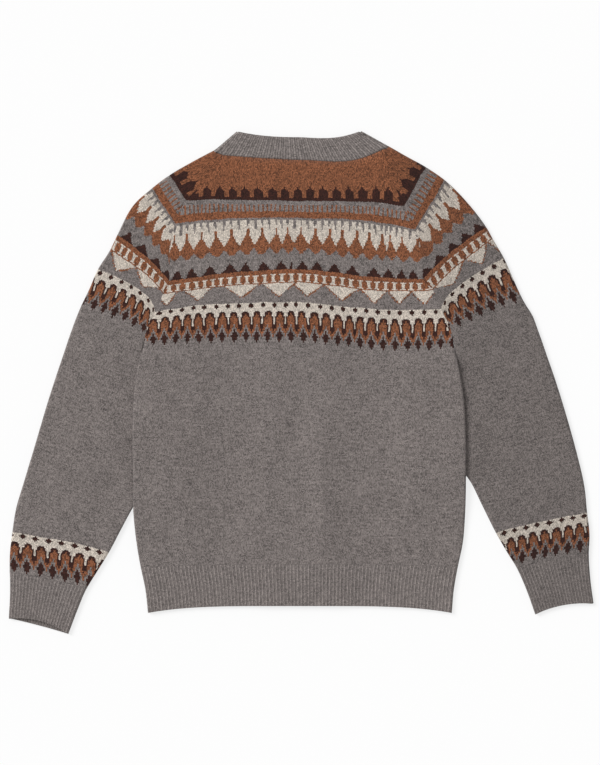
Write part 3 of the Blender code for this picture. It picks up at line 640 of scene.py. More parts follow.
TRIANGLES = {
    "back": [
        Triangle(-90, 6), Triangle(-68.4, 8.3), Triangle(-37.8, 11), Triangle(-12.2, 10.5),
        Triangle(7.6, 10.4), Triangle(31.6, 10.4), Triangle(53.8, 8.7), Triangle(71.9, 7.3),
        Triangle(88.5, 8),
    ],
    "left": [Triangle(13.5, 10.5), Triangle(35.8, 9.4), Triangle(-12, 9), Triangle(-34, 9)],
    "right": [
        Triangle(0, 3.5), Triangle(15.3, 8.1), Triangle(37.9, 10.9), Triangle(-14, 9), Triangle(-36, 9),
    ],
    "front": [Triangle(22 * n + 11, 9) for n in range(-5, 5)],
}
OUTLINE = 1.5               # width of the outline in stitches, with every third stitch left out


def triangle_yarn(triangles, stitch, drop, inside, outline):
    """The yarn of a stitch among triangles that are widest where drop is 0, and end where it is 1."""
    for middle, half in triangles:
        reach = half * (1 - drop)
        away = abs(stitch + 0.5 - middle)
        if away <= reach:
            return inside
        if away <= reach + OUTLINE and (stitch + round(8 * drop)) % 3:
            return outline
    return "G"


# %% [markdown]
# One function answers for every stitch of every panel. The offsets move a repeat sideways, because a sleeve's
# stitches are counted from its fold and not from the middle of the back.

# %% The yarn of any stitch
def yarn_at(piece, stitch, course, offset=0, lice_offset=0, band_at=None, band_offset=0):
    """The yarn that a stitch is knitted with."""
    stitch = math.floor(stitch)
    course = math.floor(course)
    if SPIKES_AT <= course < SPIKES_AT + SPIKE_COURSES:
        return spike_yarn(SPIKES[piece], stitch, course - SPIKES_AT)
    if PEAKS_AT <= course < PEAKS_AT + PEAK_HEIGHT:
        rise = 1 - (course - PEAKS_AT + 1) / PEAK_HEIGHT
        return triangle_yarn(PEAKS[piece], stitch, rise, "D", "G")
    if course < len(YOKE_COURSES):
        line = YOKE_COURSES[max(course, 0)]
        return line[(stitch - offset) % len(line)]
    if course < TRIANGLES_AT + TRIANGLE_DEPTH + 1:
        drop = (course - TRIANGLES_AT) / TRIANGLE_DEPTH
        return triangle_yarn(TRIANGLES[piece], stitch, drop, "C", "R")
    if LICE_AT <= course < LICE_AT + len(LICE_COURSES):
        line = LICE_COURSES[course - LICE_AT]
        return line[(stitch - lice_offset) % len(line)]
    if band_at is not None and band_at <= course < band_at + len(CUFF_COURSES):
        line = CUFF_COURSES[course - band_at]
        return line[(stitch - band_offset) % len(line)]
    return "G"


# %% [markdown]
# ## Knitting a mesh
# A course is a list of points, each with a key: its number in half stitches, or its place at an edge. Two
# courses are joined between the keys that both have, so a patterned course with a point every half stitch
# joins on to a plain one that has only a few, and a course may be longer than the next. In a patterned
# course the middle of each stitch lies half a course lower, which gives the two leaning legs.

# %% Courses and faces
EDGE_STEPS = (0.0, 0.3, 1.0, 2.1, 3.5)      # distance in from an edge of its extra points, in mm
EDGE_KEY = 9000
PLAIN_STEP = 8                              # half stitches from point to point in a plain course
FINE_ROWS = 3                               # the most courses that one face spans in the pattern
PLAIN_ROWS = 6                              # and in plain knitting


def points_of(course, fine, ends, always):
    """The keys and stitch numbers of a course's points, in order."""
    low, high, stitch = ends(course)
    keys = [-EDGE_KEY + n for n in range(len(EDGE_STEPS))]
    numbers = [low + step / stitch for step in EDGE_STEPS]
    margin = (EDGE_STEPS[-1] + 0.4) / stitch
    first, last = math.ceil(2 * (low + margin)), math.floor(2 * (high - margin))
    for key in range(first, last + 1):
        if fine or key % PLAIN_STEP == 0 or key in always:
            keys.append(key)
            numbers.append(key / 2)
    keys += [EDGE_KEY - n for n in reversed(range(len(EDGE_STEPS)))]
    numbers += [high - step / stitch for step in reversed(EDGE_STEPS)]
    return keys, numbers


# %% [markdown]
# No wale of a knit runs quite straight. Five long waves move the stitches sideways and the courses up and
# down, and each stitch strays a little from its place by chance. Both fade at the edges, which are sewn.

# %% Wandering wales
Sway = namedtuple("Sway", "stitches courses phase across down")
SWAYS = [               # lengths of the waves, and how far they move things, in stitches and courses
    Sway(61, 83, 0.4, 0.35, 0.14),
    Sway(-37, 54, 2.2, 0.25, 0.15),
    Sway(23, 71, 4.1, 0.2, 0.12),
    Sway(17, -29, 1.3, 0.15, 0.12),
    Sway(11, 19, 5.2, 0.1, 0.1),
]
JITTER = 0.22           # how far single stitches stray: less than half the way to the next point
STEADY_STITCHES = 6     # from the edges at the two sides, over which all this fades
STEADY_COURSES = 5      # and from the first and the last course


def wander(stitches, courses, room, first, last):
    """How far points move along and across the courses, fading to nothing at the edges of a panel."""
    inside = smooth(room / STEADY_STITCHES)
    across, down = np.zeros(len(stitches)), np.zeros(len(stitches))
    for sway in SWAYS:
        turn = 2 * math.pi * (stitches / sway.stitches + courses / sway.courses) + sway.phase
        across += sway.across * np.sin(turn)
        down += sway.down * np.cos(turn)
    chance = np.random.default_rng(11)
    across += chance.uniform(-JITTER, JITTER, len(stitches))
    down += chance.uniform(-1.5 * JITTER, 1.5 * JITTER, len(stitches))
    ends = smooth(np.minimum(courses - first, last - courses) / STEADY_COURSES)
    return across * inside, down * inside * ends


# %% [markdown]
# Only the courses where the chart changes need points of their own, so a plan is made first. A narrow course
# beside a seam keeps the shading level up to it: without it, the rounded normals of the wall's rim would
# darken the whole last course.

# %% The plan of a panel
NARROW = 0.4                # height in courses of the narrow one


def course_plan(first, last, patterned, chart):
    """Which courses have points, and which of those have one every half stitch."""
    wanted = {first: False, last: False}
    if last > max(stop for _, stop in patterned):
        wanted[last - NARROW] = False
    for start, stop in patterned:
        for course in range(start, stop + 1):
            if course in (start, stop) or chart(course) != chart(course - 1):
                wanted[course] = True
    plan = sorted(wanted)
    for before, after in zip(plan, plan[1:]):
        inside = any(start <= before and after <= stop for start, stop in patterned)
        pieces = math.ceil((after - before) / (FINE_ROWS if inside else PLAIN_ROWS))
        for step in range(1, pieces):
            wanted[before + (after - before) * step / pieces] = inside
    return sorted(wanted.items())


# %% [markdown]
# The mesh is the outside of the cloth. Each point keeps its stitch and course in a UV map, and each face its
# yarn in an attribute. A Solidify modifier then gives the sheet its wall, inward from the outside.

# %% Points and faces into a mesh
def mesh_object(name, points, faces, uvs=None, yarns=None, material=None):
    """A mesh in metres from points in millimetres, with a UV map of stitches and courses."""
    mesh = bpy.data.meshes.new(name)
    mesh.from_pydata((np.asarray(points) * MM).tolist(), [], faces)
    if uvs is not None:
        layer = mesh.uv_layers.new(name="stitches")
        corners = np.zeros(len(mesh.loops), int)
        mesh.loops.foreach_get("vertex_index", corners)
        layer.data.foreach_set("uv", np.asarray(uvs, float)[corners].ravel())
    if yarns is not None:
        attribute = mesh.attributes.new("yarn", "FLOAT", "FACE")
        attribute.data.foreach_set("value", [YARNS.index(letter) / (len(YARNS) - 1) for letter in yarns])
    mesh.shade_smooth()
    made = bpy.data.objects.new(name, mesh)
    bpy.context.scene.collection.objects.link(made)
    if material is not None:
        mesh.materials.append(material)
    return made


def knit(name, plan, ends, point, yarn, always=(), flip=False, material=None):
    """A panel knitted course by course. ends and point place a stitch, and yarn gives its colour."""
    all_keys, starts, stitches, courses, room = [], [], [], [], []
    for number, (course, fine) in enumerate(plan):
        keys, numbers = points_of(course, fine, ends, always)
        starts.append(len(stitches))
        all_keys.append(keys)
        inside = fine and 0 < number < len(plan) - 1
        stitches += numbers
        room += [min(at - numbers[0], numbers[-1] - at) for at in numbers]
        courses += [course + (0.5 if inside and abs(key) < EDGE_KEY - 100 and key % 2 else 0) for key in keys]
    stitches, courses = np.array(stitches), np.array(courses)
    moved = wander(stitches, courses, np.array(room), plan[0][0], plan[-1][0])
    points = point(stitches + moved[0], courses + moved[1])
    faces, yarns = [], []
    for number in range(len(plan) - 1):
        top = {key: starts[number] + n for n, key in enumerate(all_keys[number])}
        foot = {key: starts[number + 1] + n for n, key in enumerate(all_keys[number + 1])}
        shared = [key for key in all_keys[number] if key in foot]
        for left, right in zip(shared, shared[1:]):
            face = list(range(top[left], top[right] + 1)) + list(range(foot[right], foot[left] - 1, -1))
            middle = (stitches[top[left]] + stitches[top[right]]) / 2
            yarns.append(yarn(middle, plan[number][0] + 0.01))
            faces.append(face if flip else face[::-1])
    made = mesh_object(name, points, faces, np.stack([stitches, courses], -1), yarns, material)
    print(name, len(points), "points,", len(faces), "faces")
    return made


def thicken(made, offset=-1.0, wall=WALL):
    """Gives a sheet its wall, inward from its outer side."""
    solid = made.modifiers.new("Wall", "SOLIDIFY")
    solid.thickness = wall * MM
    solid.offset = offset
    return made


# %% [markdown]
# ## Wool
# Wool reflects no sharp light: it is rough, and the fibres that stand off its surface give a soft sheen at
# grazing angles. Its colours are matched to the photograph. Grey heather yarn is spun from light and dark
# fibres, so each stitch comes out a little lighter or darker than the next, and the shade drifts along a
# course as the yarn does. All of it is drawn by nodes, and one small function adds every node.

# %% Colours and a node helper
def linear(value):
    """A channel of an sRGB colour as linear light."""
    return value / 12.92 if value <= 0.04045 else ((value + 0.055) / 1.055) ** 2.4


def rgb(code):
    """A hex colour as linear RGBA."""
    return (*[linear(int(code[n:n + 2], 16) / 255) for n in (1, 3, 5)], 1.0)


def node(tree, kind, settings=None, *inputs, **named):
    """Adds a node with its settings. Its inputs, in order or by name, are values, outputs or other nodes."""
    made = tree.nodes.new(kind)
    for name, value in (settings or {}).items():
        setattr(made, name, value)
    sockets = [(made.inputs[number], value) for number, value in enumerate(inputs)]
    sockets += [(made.inputs[name.replace("_", " ")], value) for name, value in named.items()]
    for socket, value in sockets:
        if isinstance(value, bpy.types.Node):
            value = value.outputs[0]
        if isinstance(value, bpy.types.NodeSocket):
            tree.links.new(value, socket)
        else:
            socket.default_value = value
    return made


MATH = "ShaderNodeMath"
PLUS, MINUS, TIMES = {"operation": "ADD"}, {"operation": "SUBTRACT"}, {"operation": "MULTIPLY"}
WHOLE, FRACTION = {"operation": "FLOOR"}, {"operation": "FRACT"}
UNSIGNED, ROOT, LARGER = {"operation": "ABSOLUTE"}, {"operation": "SQRT"}, {"operation": "MAXIMUM"}
SINE, COSINE = {"operation": "SINE"}, {"operation": "COSINE"}
YARN_COLOURS = {"G": "#7D7572", "R": "#845237", "D": "#371B14", "C": "#CDC2B6"}
Heather = namedtuple("Heather", "stitches patches")         # how much they differ in lightness
HEATHER = {
    "G": Heather(0.47, 0.55),
    "R": Heather(0.62, 0.1),
    "D": Heather(0.6, 0.1),
    "C": Heather(0.38, 0.12),
}
RIB_HEATHER = Heather(0.36, 0.3)

# %% [markdown]
# The legs of the stitches are drawn from the UV map, which counts stitches across and courses down. Within a
# stitch, out is 0 in the middle and 1 at its two sides. A leg climbs half a course from the middle to the
# side, which makes the V, and it is round both across its width and along its length.

# %% The shape of a stitch
def stitch_shape(tree):
    """Stitches counted across, the course that a leg belongs to, and how high the yarn stands."""
    place = node(tree, "ShaderNodeUVMap", {"uv_map": "stitches"})
    across, down = node(tree, "ShaderNodeSeparateXYZ", None, place).outputs[:2]
    aside = node(tree, MATH, MINUS, node(tree, MATH, FRACTION, across), 0.5)
    out = node(tree, MATH, TIMES, node(tree, MATH, UNSIGNED, aside), 2.0)
    climb = node(tree, MATH, TIMES, out, 0.5)
    course = node(tree, MATH, PLUS, node(tree, MATH, MINUS, down, 0.5), climb)
    leg = node(tree, MATH, SINE, node(tree, MATH, TIMES, node(tree, MATH, FRACTION, course), math.pi))
    hump = node(tree, MATH, TIMES, node(tree, MATH, TIMES, out, node(tree, MATH, MINUS, 1.0, out)), 4.0)
    belly = node(tree, MATH, TIMES, node(tree, MATH, ROOT, hump), 0.6)
    return across, course, node(tree, MATH, TIMES, leg, node(tree, MATH, PLUS, belly, 0.4))


# %% [markdown]
# Four noises make the heather. Every leg of a stitch has a value of its own. Streaks about 7 stitches long
# follow the courses, as the yarn's shade drifts. Clouds about 26 mm across stand for the uneven mixing of the
# fibres, and the fuzz of the fibres themselves is a noise 0.4 mm apart.

# %% The shade of a stitch
STREAK_ACROSS, STREAK_DOWN = 0.14, 0.6      # streaks per stitch and per course
CLOUD_SCALE = 38.0                          # noise per metre
FUZZ_SCALE = 2600.0
DARKEST = 0.12                              # so that no stitch comes out black


def heather(tree, across, course, by_stitch, by_patch):
    """How light the wool is, about 1, and the height of its fuzz."""
    leg_number = node(tree, MATH, WHOLE, node(tree, MATH, TIMES, across, 2.0))
    which = node(tree, "ShaderNodeCombineXYZ", None, leg_number, node(tree, MATH, WHOLE, course))
    fleck = node(tree, "ShaderNodeTexWhiteNoise", {"noise_dimensions": "2D"}, Vector=which)
    along = node(tree, "ShaderNodeCombineXYZ", None, node(tree, MATH, TIMES, across, STREAK_ACROSS),
                 node(tree, MATH, TIMES, course, STREAK_DOWN))
    slub = node(tree, "ShaderNodeTexNoise", {"noise_dimensions": "2D"}, Vector=along, Scale=1.0, Detail=2.0,
                Roughness=0.6)
    there = node(tree, "ShaderNodeTexCoord").outputs["Object"]
    cloud = node(tree, "ShaderNodeTexNoise", Vector=there, Scale=CLOUD_SCALE, Detail=3.0, Roughness=0.55)
    fibre = node(tree, "ShaderNodeTexNoise", Vector=there, Scale=FUZZ_SCALE, Detail=1.0)
    spots, fuzz, drift, clouds = [
        node(tree, MATH, TIMES, node(tree, MATH, MINUS, noise, 0.5), strength)
        for noise, strength in ((fleck, 2.0), (fibre, 2.0), (slub, 1.5), (cloud, 0.7))
    ]
    stitches = node(tree, MATH, TIMES, node(tree, MATH, PLUS, spots, fuzz), by_stitch)
    patches = node(tree, MATH, TIMES, node(tree, MATH, PLUS, drift, clouds), by_patch)
    light = node(tree, MATH, PLUS, node(tree, MATH, PLUS, stitches, patches), 1.0)
    return node(tree, MATH, LARGER, light, DARKEST), fibre


# %% [markdown]
# In the charted panels each face carries its yarn as a number from 0 to 1. Two ramps with constant steps turn
# it into the yarn's colour, and into the amounts of its heather, held in a red and a green.

# %% Yarns from the chart
def charted_yarn(tree):
    """The colour of each face's yarn, and how much its stitches and its patches differ."""
    which = node(tree, "ShaderNodeAttribute", {"attribute_name": "yarn"}).outputs["Fac"]
    colour, amount = [node(tree, "ShaderNodeValToRGB", None, which) for _ in range(2)]
    shown = {colour: [rgb(YARN_COLOURS[letter]) for letter in YARNS],
             amount: [(*HEATHER[letter], 0, 1) for letter in YARNS]}
    for ramp, values in shown.items():
        ramp.color_ramp.interpolation = "CONSTANT"
        for _ in range(len(YARNS) - 2):
            ramp.color_ramp.elements.new(0.5)
        for number, element in enumerate(ramp.color_ramp.elements):
            element.position = max((number - 0.5) / (len(YARNS) - 1), 0)
        for element, value in zip(ramp.color_ramp.elements, values):
            element.color = value
    by_stitch, by_patch = node(tree, "ShaderNodeSeparateXYZ", None, amount).outputs[:2]
    return colour, by_stitch, by_patch


# %% [markdown]
# The hollows between the legs get a painted shade, so the yarn is darker there than on top of them. In a
# rib, every second wale is a purl that lies deeper, and it and the gap between one wale and the next get a
# painted shade too. The stitches are too fine to model one by one, so a bump of about half a millimetre
# stands for their height.

# %% Knitted wool
WOOL_SURFACE = {
    "Roughness": 0.95, "IOR": 1.54, "Specular IOR Level": 0.15, "Sheen Weight": 0.12, "Sheen Roughness": 0.6,
}
# painted shade: the lightness of the yarn in the hollows, and what the height of the yarn adds on top
SHADE_IN_HOLLOWS, LIGHT_ON_TOP = 0.42, 0.8      # lightness in the hollows, and what the height of the yarn adds
STITCH_HEIGHT = 0.45            # mm


def wool(name, charted, shade=1.0, furrow=0.0, wale=0.0):
    """Knitted wool. charted takes the yarn from the faces, and shade is a painted shade over all of it. In a
    rib furrow paints shade on every second wale, and wale paints shade on the gap between one wale and the
    next."""
    made = bpy.data.materials.new(name)
    made.use_nodes = True
    tree = made.node_tree
    shader = tree.nodes["Principled BSDF"]
    for socket, value in WOOL_SURFACE.items():
        shader.inputs[socket].default_value = value
    across, course, height = stitch_shape(tree)
    if charted:
        colour, by_stitch, by_patch = charted_yarn(tree)
    else:
        colour, (by_stitch, by_patch) = rgb(YARN_COLOURS["G"])[:3], RIB_HEATHER
    light, fibre = heather(tree, across, course, by_stitch, by_patch)
    # painted shade: the yarn is darker in the hollows between the legs, and shade darkens all of it
    hollow_shade = node(tree, MATH, PLUS, node(tree, MATH, TIMES, height, LIGHT_ON_TOP), SHADE_IN_HOLLOWS)
    painted_shade = node(tree, MATH, TIMES, hollow_shade, shade)
    if furrow:
        # painted shade on the sunk purl wales and in the gaps between the wales
        turn = node(tree, MATH, TIMES, node(tree, MATH, MINUS, across, 0.5), math.pi)
        sunk = node(tree, MATH, TIMES, node(tree, MATH, COSINE, turn), furrow)
        gap = node(tree, MATH, TIMES, node(tree, MATH, COSINE, node(tree, MATH, TIMES, turn, 2.0)), wale)
        rib_shade = node(tree, MATH, PLUS, node(tree, MATH, PLUS, sunk, gap), 1.02)
        painted_shade = node(tree, MATH, TIMES, painted_shade, rib_shade)
    tinted = node(tree, "ShaderNodeVectorMath", {"operation": "SCALE"}, colour,
                  Scale=node(tree, MATH, TIMES, light, painted_shade))
    tree.links.new(tinted.outputs[0], shader.inputs["Base Color"])
    total = node(tree, MATH, PLUS, height, node(tree, MATH, TIMES, fibre, 0.25))
    bump = node(tree, "ShaderNodeBump", Strength=0.6, Distance=STITCH_HEIGHT * MM, Height=total)
    tree.links.new(bump.outputs[0], shader.inputs["Normal"])
    return made


# %% [markdown]
# One yarn makes the whole garment. Stranded stockinette takes its colours from the chart, and the ribs are
# plain grey. The photograph shows the right sleeve a little darker, as it lies turned from the light.

# %% The wools of this cardigan
# painted shade: the right sleeve and its cuff take copies of the wools that are 0.84 times as light
RIGHT_PAINTED_SHADE = 0.84
stranded = {"body": wool("stranded wool stockinette", charted=True)}
stranded["left"] = stranded["body"]
stranded["right"] = wool("stranded wool stockinette in the shade", charted=True, shade=RIGHT_PAINTED_SHADE)
ribbed = {"left": wool("wool rib", charted=False, furrow=0.22, wale=0.2)}
ribbed["hem"] = ribbed["band"] = ribbed["left"]
ribbed["right"] = wool("wool rib in the shade", charted=False, shade=RIGHT_PAINTED_SHADE, furrow=0.22, wale=0.2)
ribbed["neck"] = wool("wool rib of the neckband", charted=False, furrow=0.1, wale=0.3)
print("Wools:", ", ".join(made.name for made in bpy.data.materials if "wool" in made.name))

# %% [markdown]
# ## The back
# The back is knitted from the neck seam down to the hem's seam. Its yoke is patterned nearly all the way,
# and below it the plain grey needs a point only every fourth stitch.

# %% Knit the back
SPIKE_CHANGES = (3, 4, 5, 7, 8, *range(13, 22), *range(25, 30))     # courses of the spikes unlike the last


def chart_key(course):
    """What a course of the yoke looks like, to tell where the pattern changes."""
    course = math.floor(course)
    if SPIKES_AT <= course < SPIKES_AT + SPIKE_COURSES:
        drop = course - SPIKES_AT
        return sum(drop >= change for change in SPIKE_CHANGES)
    if PEAKS_AT <= course < PEAKS_AT + PEAK_HEIGHT:
        return course
    if course < len(YOKE_COURSES):
        return YOKE_COURSES[max(course, 0)]
    if course < TRIANGLES_AT + TRIANGLE_DEPTH + 1:
        return course
    if LICE_AT <= course < LICE_AT + len(LICE_COURSES):
        return LICE_COURSES[course - LICE_AT]
    return "G"


LICE_END = LICE_AT + len(LICE_COURSES)
YOKE_PATTERNED = [(YOKE[0].courses, LICE_END)]      # below the plain rust at the neck
back = knit("back_panel", course_plan(0, HEM_SEAM, YOKE_PATTERNED, chart_key), back_ends, back_point,
            lambda stitch, course: yarn_at("back", stitch, course), material=stranded["body"])
thicken(back)

# %% [markdown]
# ## The sleeves
# Each sleeve is one sheet: over the top, round the fold along the shoulder and back underneath. Its courses
# meet the body's at the raglan seams, so the pattern runs on round the yoke. The band of lice comes again
# above the cuff.

# %% Knit the sleeves
FOLD_KEYS = (-7, -5, -3, -1, 1, 3, 5, 7)        # extra points round the fold, in half stitches
YOKE_OFFSET = {"left": 6, "right": 7}           # how far the sleeves' pattern starts from the fold
LICE_OFFSET = {"left": 4, "right": 1}
BAND_OFFSET = {"left": -1, "right": 3}


def sleeve_chart_key(side):
    """The same as chart_key, with the band above this sleeve's cuff."""
    def key(course):
        inside = math.floor(course) - CUFF_BAND[side]
        return CUFF_COURSES[inside] if 0 <= inside < len(CUFF_COURSES) else chart_key(course)
    return key


sleeves = {}
for side in ("left", "right"):
    band_at = CUFF_BAND[side]
    patterned = YOKE_PATTERNED + [(band_at, band_at + len(CUFF_COURSES))]

    def yarn(stitch, course, side=side, band_at=band_at):
        return yarn_at(side, stitch, course, YOKE_OFFSET[side], LICE_OFFSET[side], band_at, BAND_OFFSET[side])

    def point(stitch, course, side=side):
        return sleeve_point(side, stitch, course)

    plan = course_plan(0, CUFF_SEAM[side], patterned, sleeve_chart_key(side))
    sleeves[side] = knit(f"sleeve_panel_{side}", plan, sleeve_ends(side), point, yarn,
                         always=FOLD_KEYS, flip=side == "right", material=stranded[side])
    thicken(sleeves[side])

# %% [markdown]
# ## Ribs
# In a 1x1 rib a knit wale stands up and a purl wale sinks behind it, so the edge springs in. It is a grid
# of points with a wave across it: four points to a rib, moved in along the surface's own normal.

# %% A grid and its ribs
def grid_object(name, points, uvs, material, flip=False, yarns=None, missing=()):
    """A sheet from a grid of points, rows by columns, without the missing cells."""
    rows, across = points.shape[:2]
    faces = []
    for row in range(rows - 1):
        for cell in range(across - 1):
            if (row, cell) in missing:
                continue
            corner = row * across + cell
            face = (corner, corner + across, corner + across + 1, corner + 1)
            faces.append(face[::-1] if flip else face)
    return mesh_object(name, points.reshape(-1, 3), faces, uvs.reshape(-1, 2), yarns, material)


def normals_of(points):
    """Unit normals of a grid of points."""
    across = np.gradient(points, axis=1)
    down = np.gradient(points, axis=0)
    normal = np.cross(down, across)
    return normal / np.maximum(np.linalg.norm(normal, axis=-1, keepdims=True), 1e-9)


def ribs(points, wave, depth, outward=1.0):
    """Sinks the purl wales of a grid. wave counts ribs across it."""
    sunk = 0.5 - 0.5 * np.cos(2 * math.pi * wave)
    return points - normals_of(points) * (sunk * depth * outward)[..., None]


RIB_START = 6.0             # courses over which the ribs grow from the level knitting


def rib_piece(name, surface, low, high, count, course_low, course_high, material, flip=False):
    """A rib along a surface: count ribs between its two ends, from one course to another."""
    share = np.linspace(0, 1, 4 * count + 1)
    courses = np.linspace(course_low, course_high, 1 + math.ceil((course_high - course_low) / 3))
    courses = np.sort(np.append(courses, [course_low + NARROW, course_high - NARROW]))
    grid = np.array([surface(low(c) + (high(c) - low(c)) * share, np.full(len(share), c)) for c in courses])
    wave = np.broadcast_to(share * count, grid.shape[:2])
    ends = smooth(np.minimum(share, 1 - share) * count)
    grown = smooth((courses - course_low) / RIB_START)[:, None] * ends
    grid = ribs(grid, wave, RIB_DEPTH * grown, -1.0 if flip else 1.0)
    uvs = np.stack([wave * 2 + 0.5, np.broadcast_to(courses[:, None], grid.shape[:2])], -1)
    made = grid_object(name, grid, uvs, material, flip)
    print(name, count, "ribs")
    return thicken(made)


# %% [markdown]
# The hem goes on where the back's last course ends, and each cuff goes on round its sleeve.

# %% Hem and cuffs
HEM_GAP = 0.05              # courses left open at the seam of a rib
hem_ribs = round((BODY_ROWS[-3].right_x - BODY_ROWS[-3].left_x) / RIB_PITCH["hem"])
hem_back = rib_piece("hem_rib_back", back_point, lambda c: back_ends(c)[0], lambda c: back_ends(c)[1],
                     hem_ribs, HEM_SEAM + HEM_GAP, HEM_EDGE, ribbed["hem"])
cuffs = {}
for side in ("left", "right"):
    ends = sleeve_ends(side)
    low, high, stitch = ends(CUFF_SEAM[side])

    def surface(stitch, course, side=side):
        return sleeve_point(side, stitch, course)

    cuffs[side] = rib_piece(f"cuff_rib_{side}", surface, lambda c: ends(c)[0], lambda c: ends(c)[1],
                            round((high - low) * stitch / RIB_PITCH["cuff"]), CUFF_SEAM[side] + HEM_GAP,
                            MOUTH[side], ribbed[side], flip=side == "right")

# %% [markdown]
# ## The fronts
# The two fronts lie underneath, face down, and are buttoned to each other. Their neckline is cut lower, so
# it cuts through the first courses of the pattern. Here the mesh is a plain fine grid, and each face looks
# up which stitch of the chart it belongs to.

# %% Knit the fronts
def front_row(side, course):
    """A front's row at some courses: its outer end, its height at the bands, uncut height and power."""
    names = (side + "_x", side + "_y", "centre_y", "uncut_y", "power")
    return [column(FRONT_ROWS, name, course) for name in names]


def front_point(side, distance, course):
    """A point on the underside of a front or its hem, at a share of the way in from its outer end."""
    x_end, y_end, centre, _, power = front_row(side, course)
    inward = 1 if side == "left" else -1
    length = np.abs(x_end) - BAND_WIDTH / 2
    x = x_end + inward * np.minimum(distance + SEAM / 2, length - SEAM / 2)
    share = distance / (length + BAND_WIDTH / 2)
    y = y_end + (centre - y_end) * (1 - (1 - share) ** power)
    z = THICK / 2 - edge_height(distance, THICK, course) + lift(x, y) + front_rise(x)
    return np.stack([x, y, z], -1)


def front_course(side, x, y):
    """The course of the chart at a place on a front, as if its neckline hadn't cut into it."""
    courses = np.array([row.course for row in FRONT_ROWS], float)
    x_end, y_end, _, uncut, power = front_row(side, courses)
    share = np.clip(1 - np.abs(x)[..., None] / np.abs(x_end), 0, 1)
    heights = y_end + (uncut - y_end) * (1 - (1 - share) ** power)
    lines = heights.reshape(-1, len(courses))
    found = [np.interp(-height, -line, courses) for height, line in zip(y.ravel(), lines)]
    return np.array(found).reshape(x.shape)


def front_length(side, course):
    """How far a front reaches from its outer end to its band."""
    return abs(float(column(FRONT_ROWS, side + "_x", course))) - BAND_WIDTH / 2 - SEAM / 2


def middles(values):
    """The values halfway across each cell of a grid."""
    return (values[:-1, :-1] + values[1:, 1:]) / 2


FRONT_STITCH_COLUMNS = 106
front_courses = np.concatenate([np.arange(0, LICE_END + 1, 1.25), np.linspace(LICE_END + 3, HEM_SEAM, 34)])
fronts, front_hems = {}, {}
for side in ("left", "right"):
    grid = []
    for course in front_courses:
        length = front_length(side, course)
        inner = np.linspace(EDGE_STEPS[-1] + 1.5, length, FRONT_STITCH_COLUMNS)
        distance = np.concatenate([EDGE_STEPS, inner])
        grid.append(front_point(side, distance, np.full(len(distance), course)))
    grid = np.array(grid)
    charted = front_course(side, grid[..., 0], grid[..., 1])
    counted = (grid[..., 0] - CENTRE_X) / STITCH
    yarns = [yarn_at("front", u, v) for u, v in zip(middles(counted).ravel(), middles(charted).ravel())]
    fronts[side] = thicken(grid_object(f"front_panel_{side}", grid, np.stack([counted, charted], -1),
                                       stranded["body"], flip=side == "left", yarns=yarns))
    front_hems[side] = rib_piece(
        f"hem_rib_front_{side}", lambda d, c, side=side: front_point(side, d, c), lambda c: 0.0,
        lambda c, side=side: front_length(side, c), round(front_length(side, HEM_SEAM) / RIB_PITCH["hem"]),
        HEM_SEAM + HEM_GAP, HEM_EDGE, ribbed["hem"], flip=side == "left")

# %% [markdown]
# ## The neckband
# The neckband is one rib strip. It starts at the button band, runs up the front neckline, turns over each
# shoulder and crosses the back. At each place along it a line runs from the seam to the free edge.

# %% Neckband
NECK_EDGE = BodyRow(0, -93.0, 376.2, 87.0, 376.4, -8.2, 2.4, 3.0)
NECK_FOLD = {"left": (-96.8, 377.3), "right": (90.5, 377.6)}
NECK_FRONT_EDGE = [(-92.0, 372.0), (-88.0, 322.0), (-58.0, BAND_TOP), (-BAND_WIDTH / 2 - SEAM, BAND_TOP)]
MIDDLE_Z = THICK - WALL / 2


def distances(line):
    """How far along a line of points each of them lies."""
    return np.concatenate([[0], np.cumsum(np.linalg.norm(np.diff(line, axis=0), axis=1))])


def neck_back(count):
    """Seam and edge points across the back."""
    share = np.linspace(0, 1, count)
    low, high, _ = back_ends(0)
    seam = back_point(low + (high - low) * share, np.zeros(count))
    seam[:, 2] = MIDDLE_Z
    x = NECK_EDGE.left_x + (NECK_EDGE.right_x - NECK_EDGE.left_x) * share
    bow = NECK_EDGE.bow * (1 - np.abs(2 * share - 1) ** NECK_EDGE.power)
    bow = bow - NECK_EDGE.dip * np.sin(math.pi * np.clip(2 * share - 1, 0, 1) ** DIP_POWER)
    y = NECK_EDGE.left_y + (NECK_EDGE.right_y - NECK_EDGE.left_y) * share + bow
    return seam, np.stack([x, y, np.full(count, MIDDLE_Z)], -1)


def neck_fold(side, count):
    """Seam and edge points round the fold over a shoulder, from the back to the front."""
    angle = np.linspace(90, -90, count) * math.pi / 180
    radius = (THICK - WALL) / 2
    fold = np.array([YOKE_ROWS[side][0].fold_x, YOKE_ROWS[side][0].fold_y])
    edge = np.array(NECK_FOLD[side])
    along = (fold - edge) / np.linalg.norm(fold - edge)
    outward = np.array([along[1], -along[0]])
    outward *= np.sign(outward[0] * fold[0])
    lines = []
    for rim in (fold, edge):
        plan = rim - outward * THICK / 2 + outward * (radius * np.cos(angle))[:, None]
        lines.append(np.column_stack([plan, THICK / 2 + radius * np.sin(angle)]))
    return lines


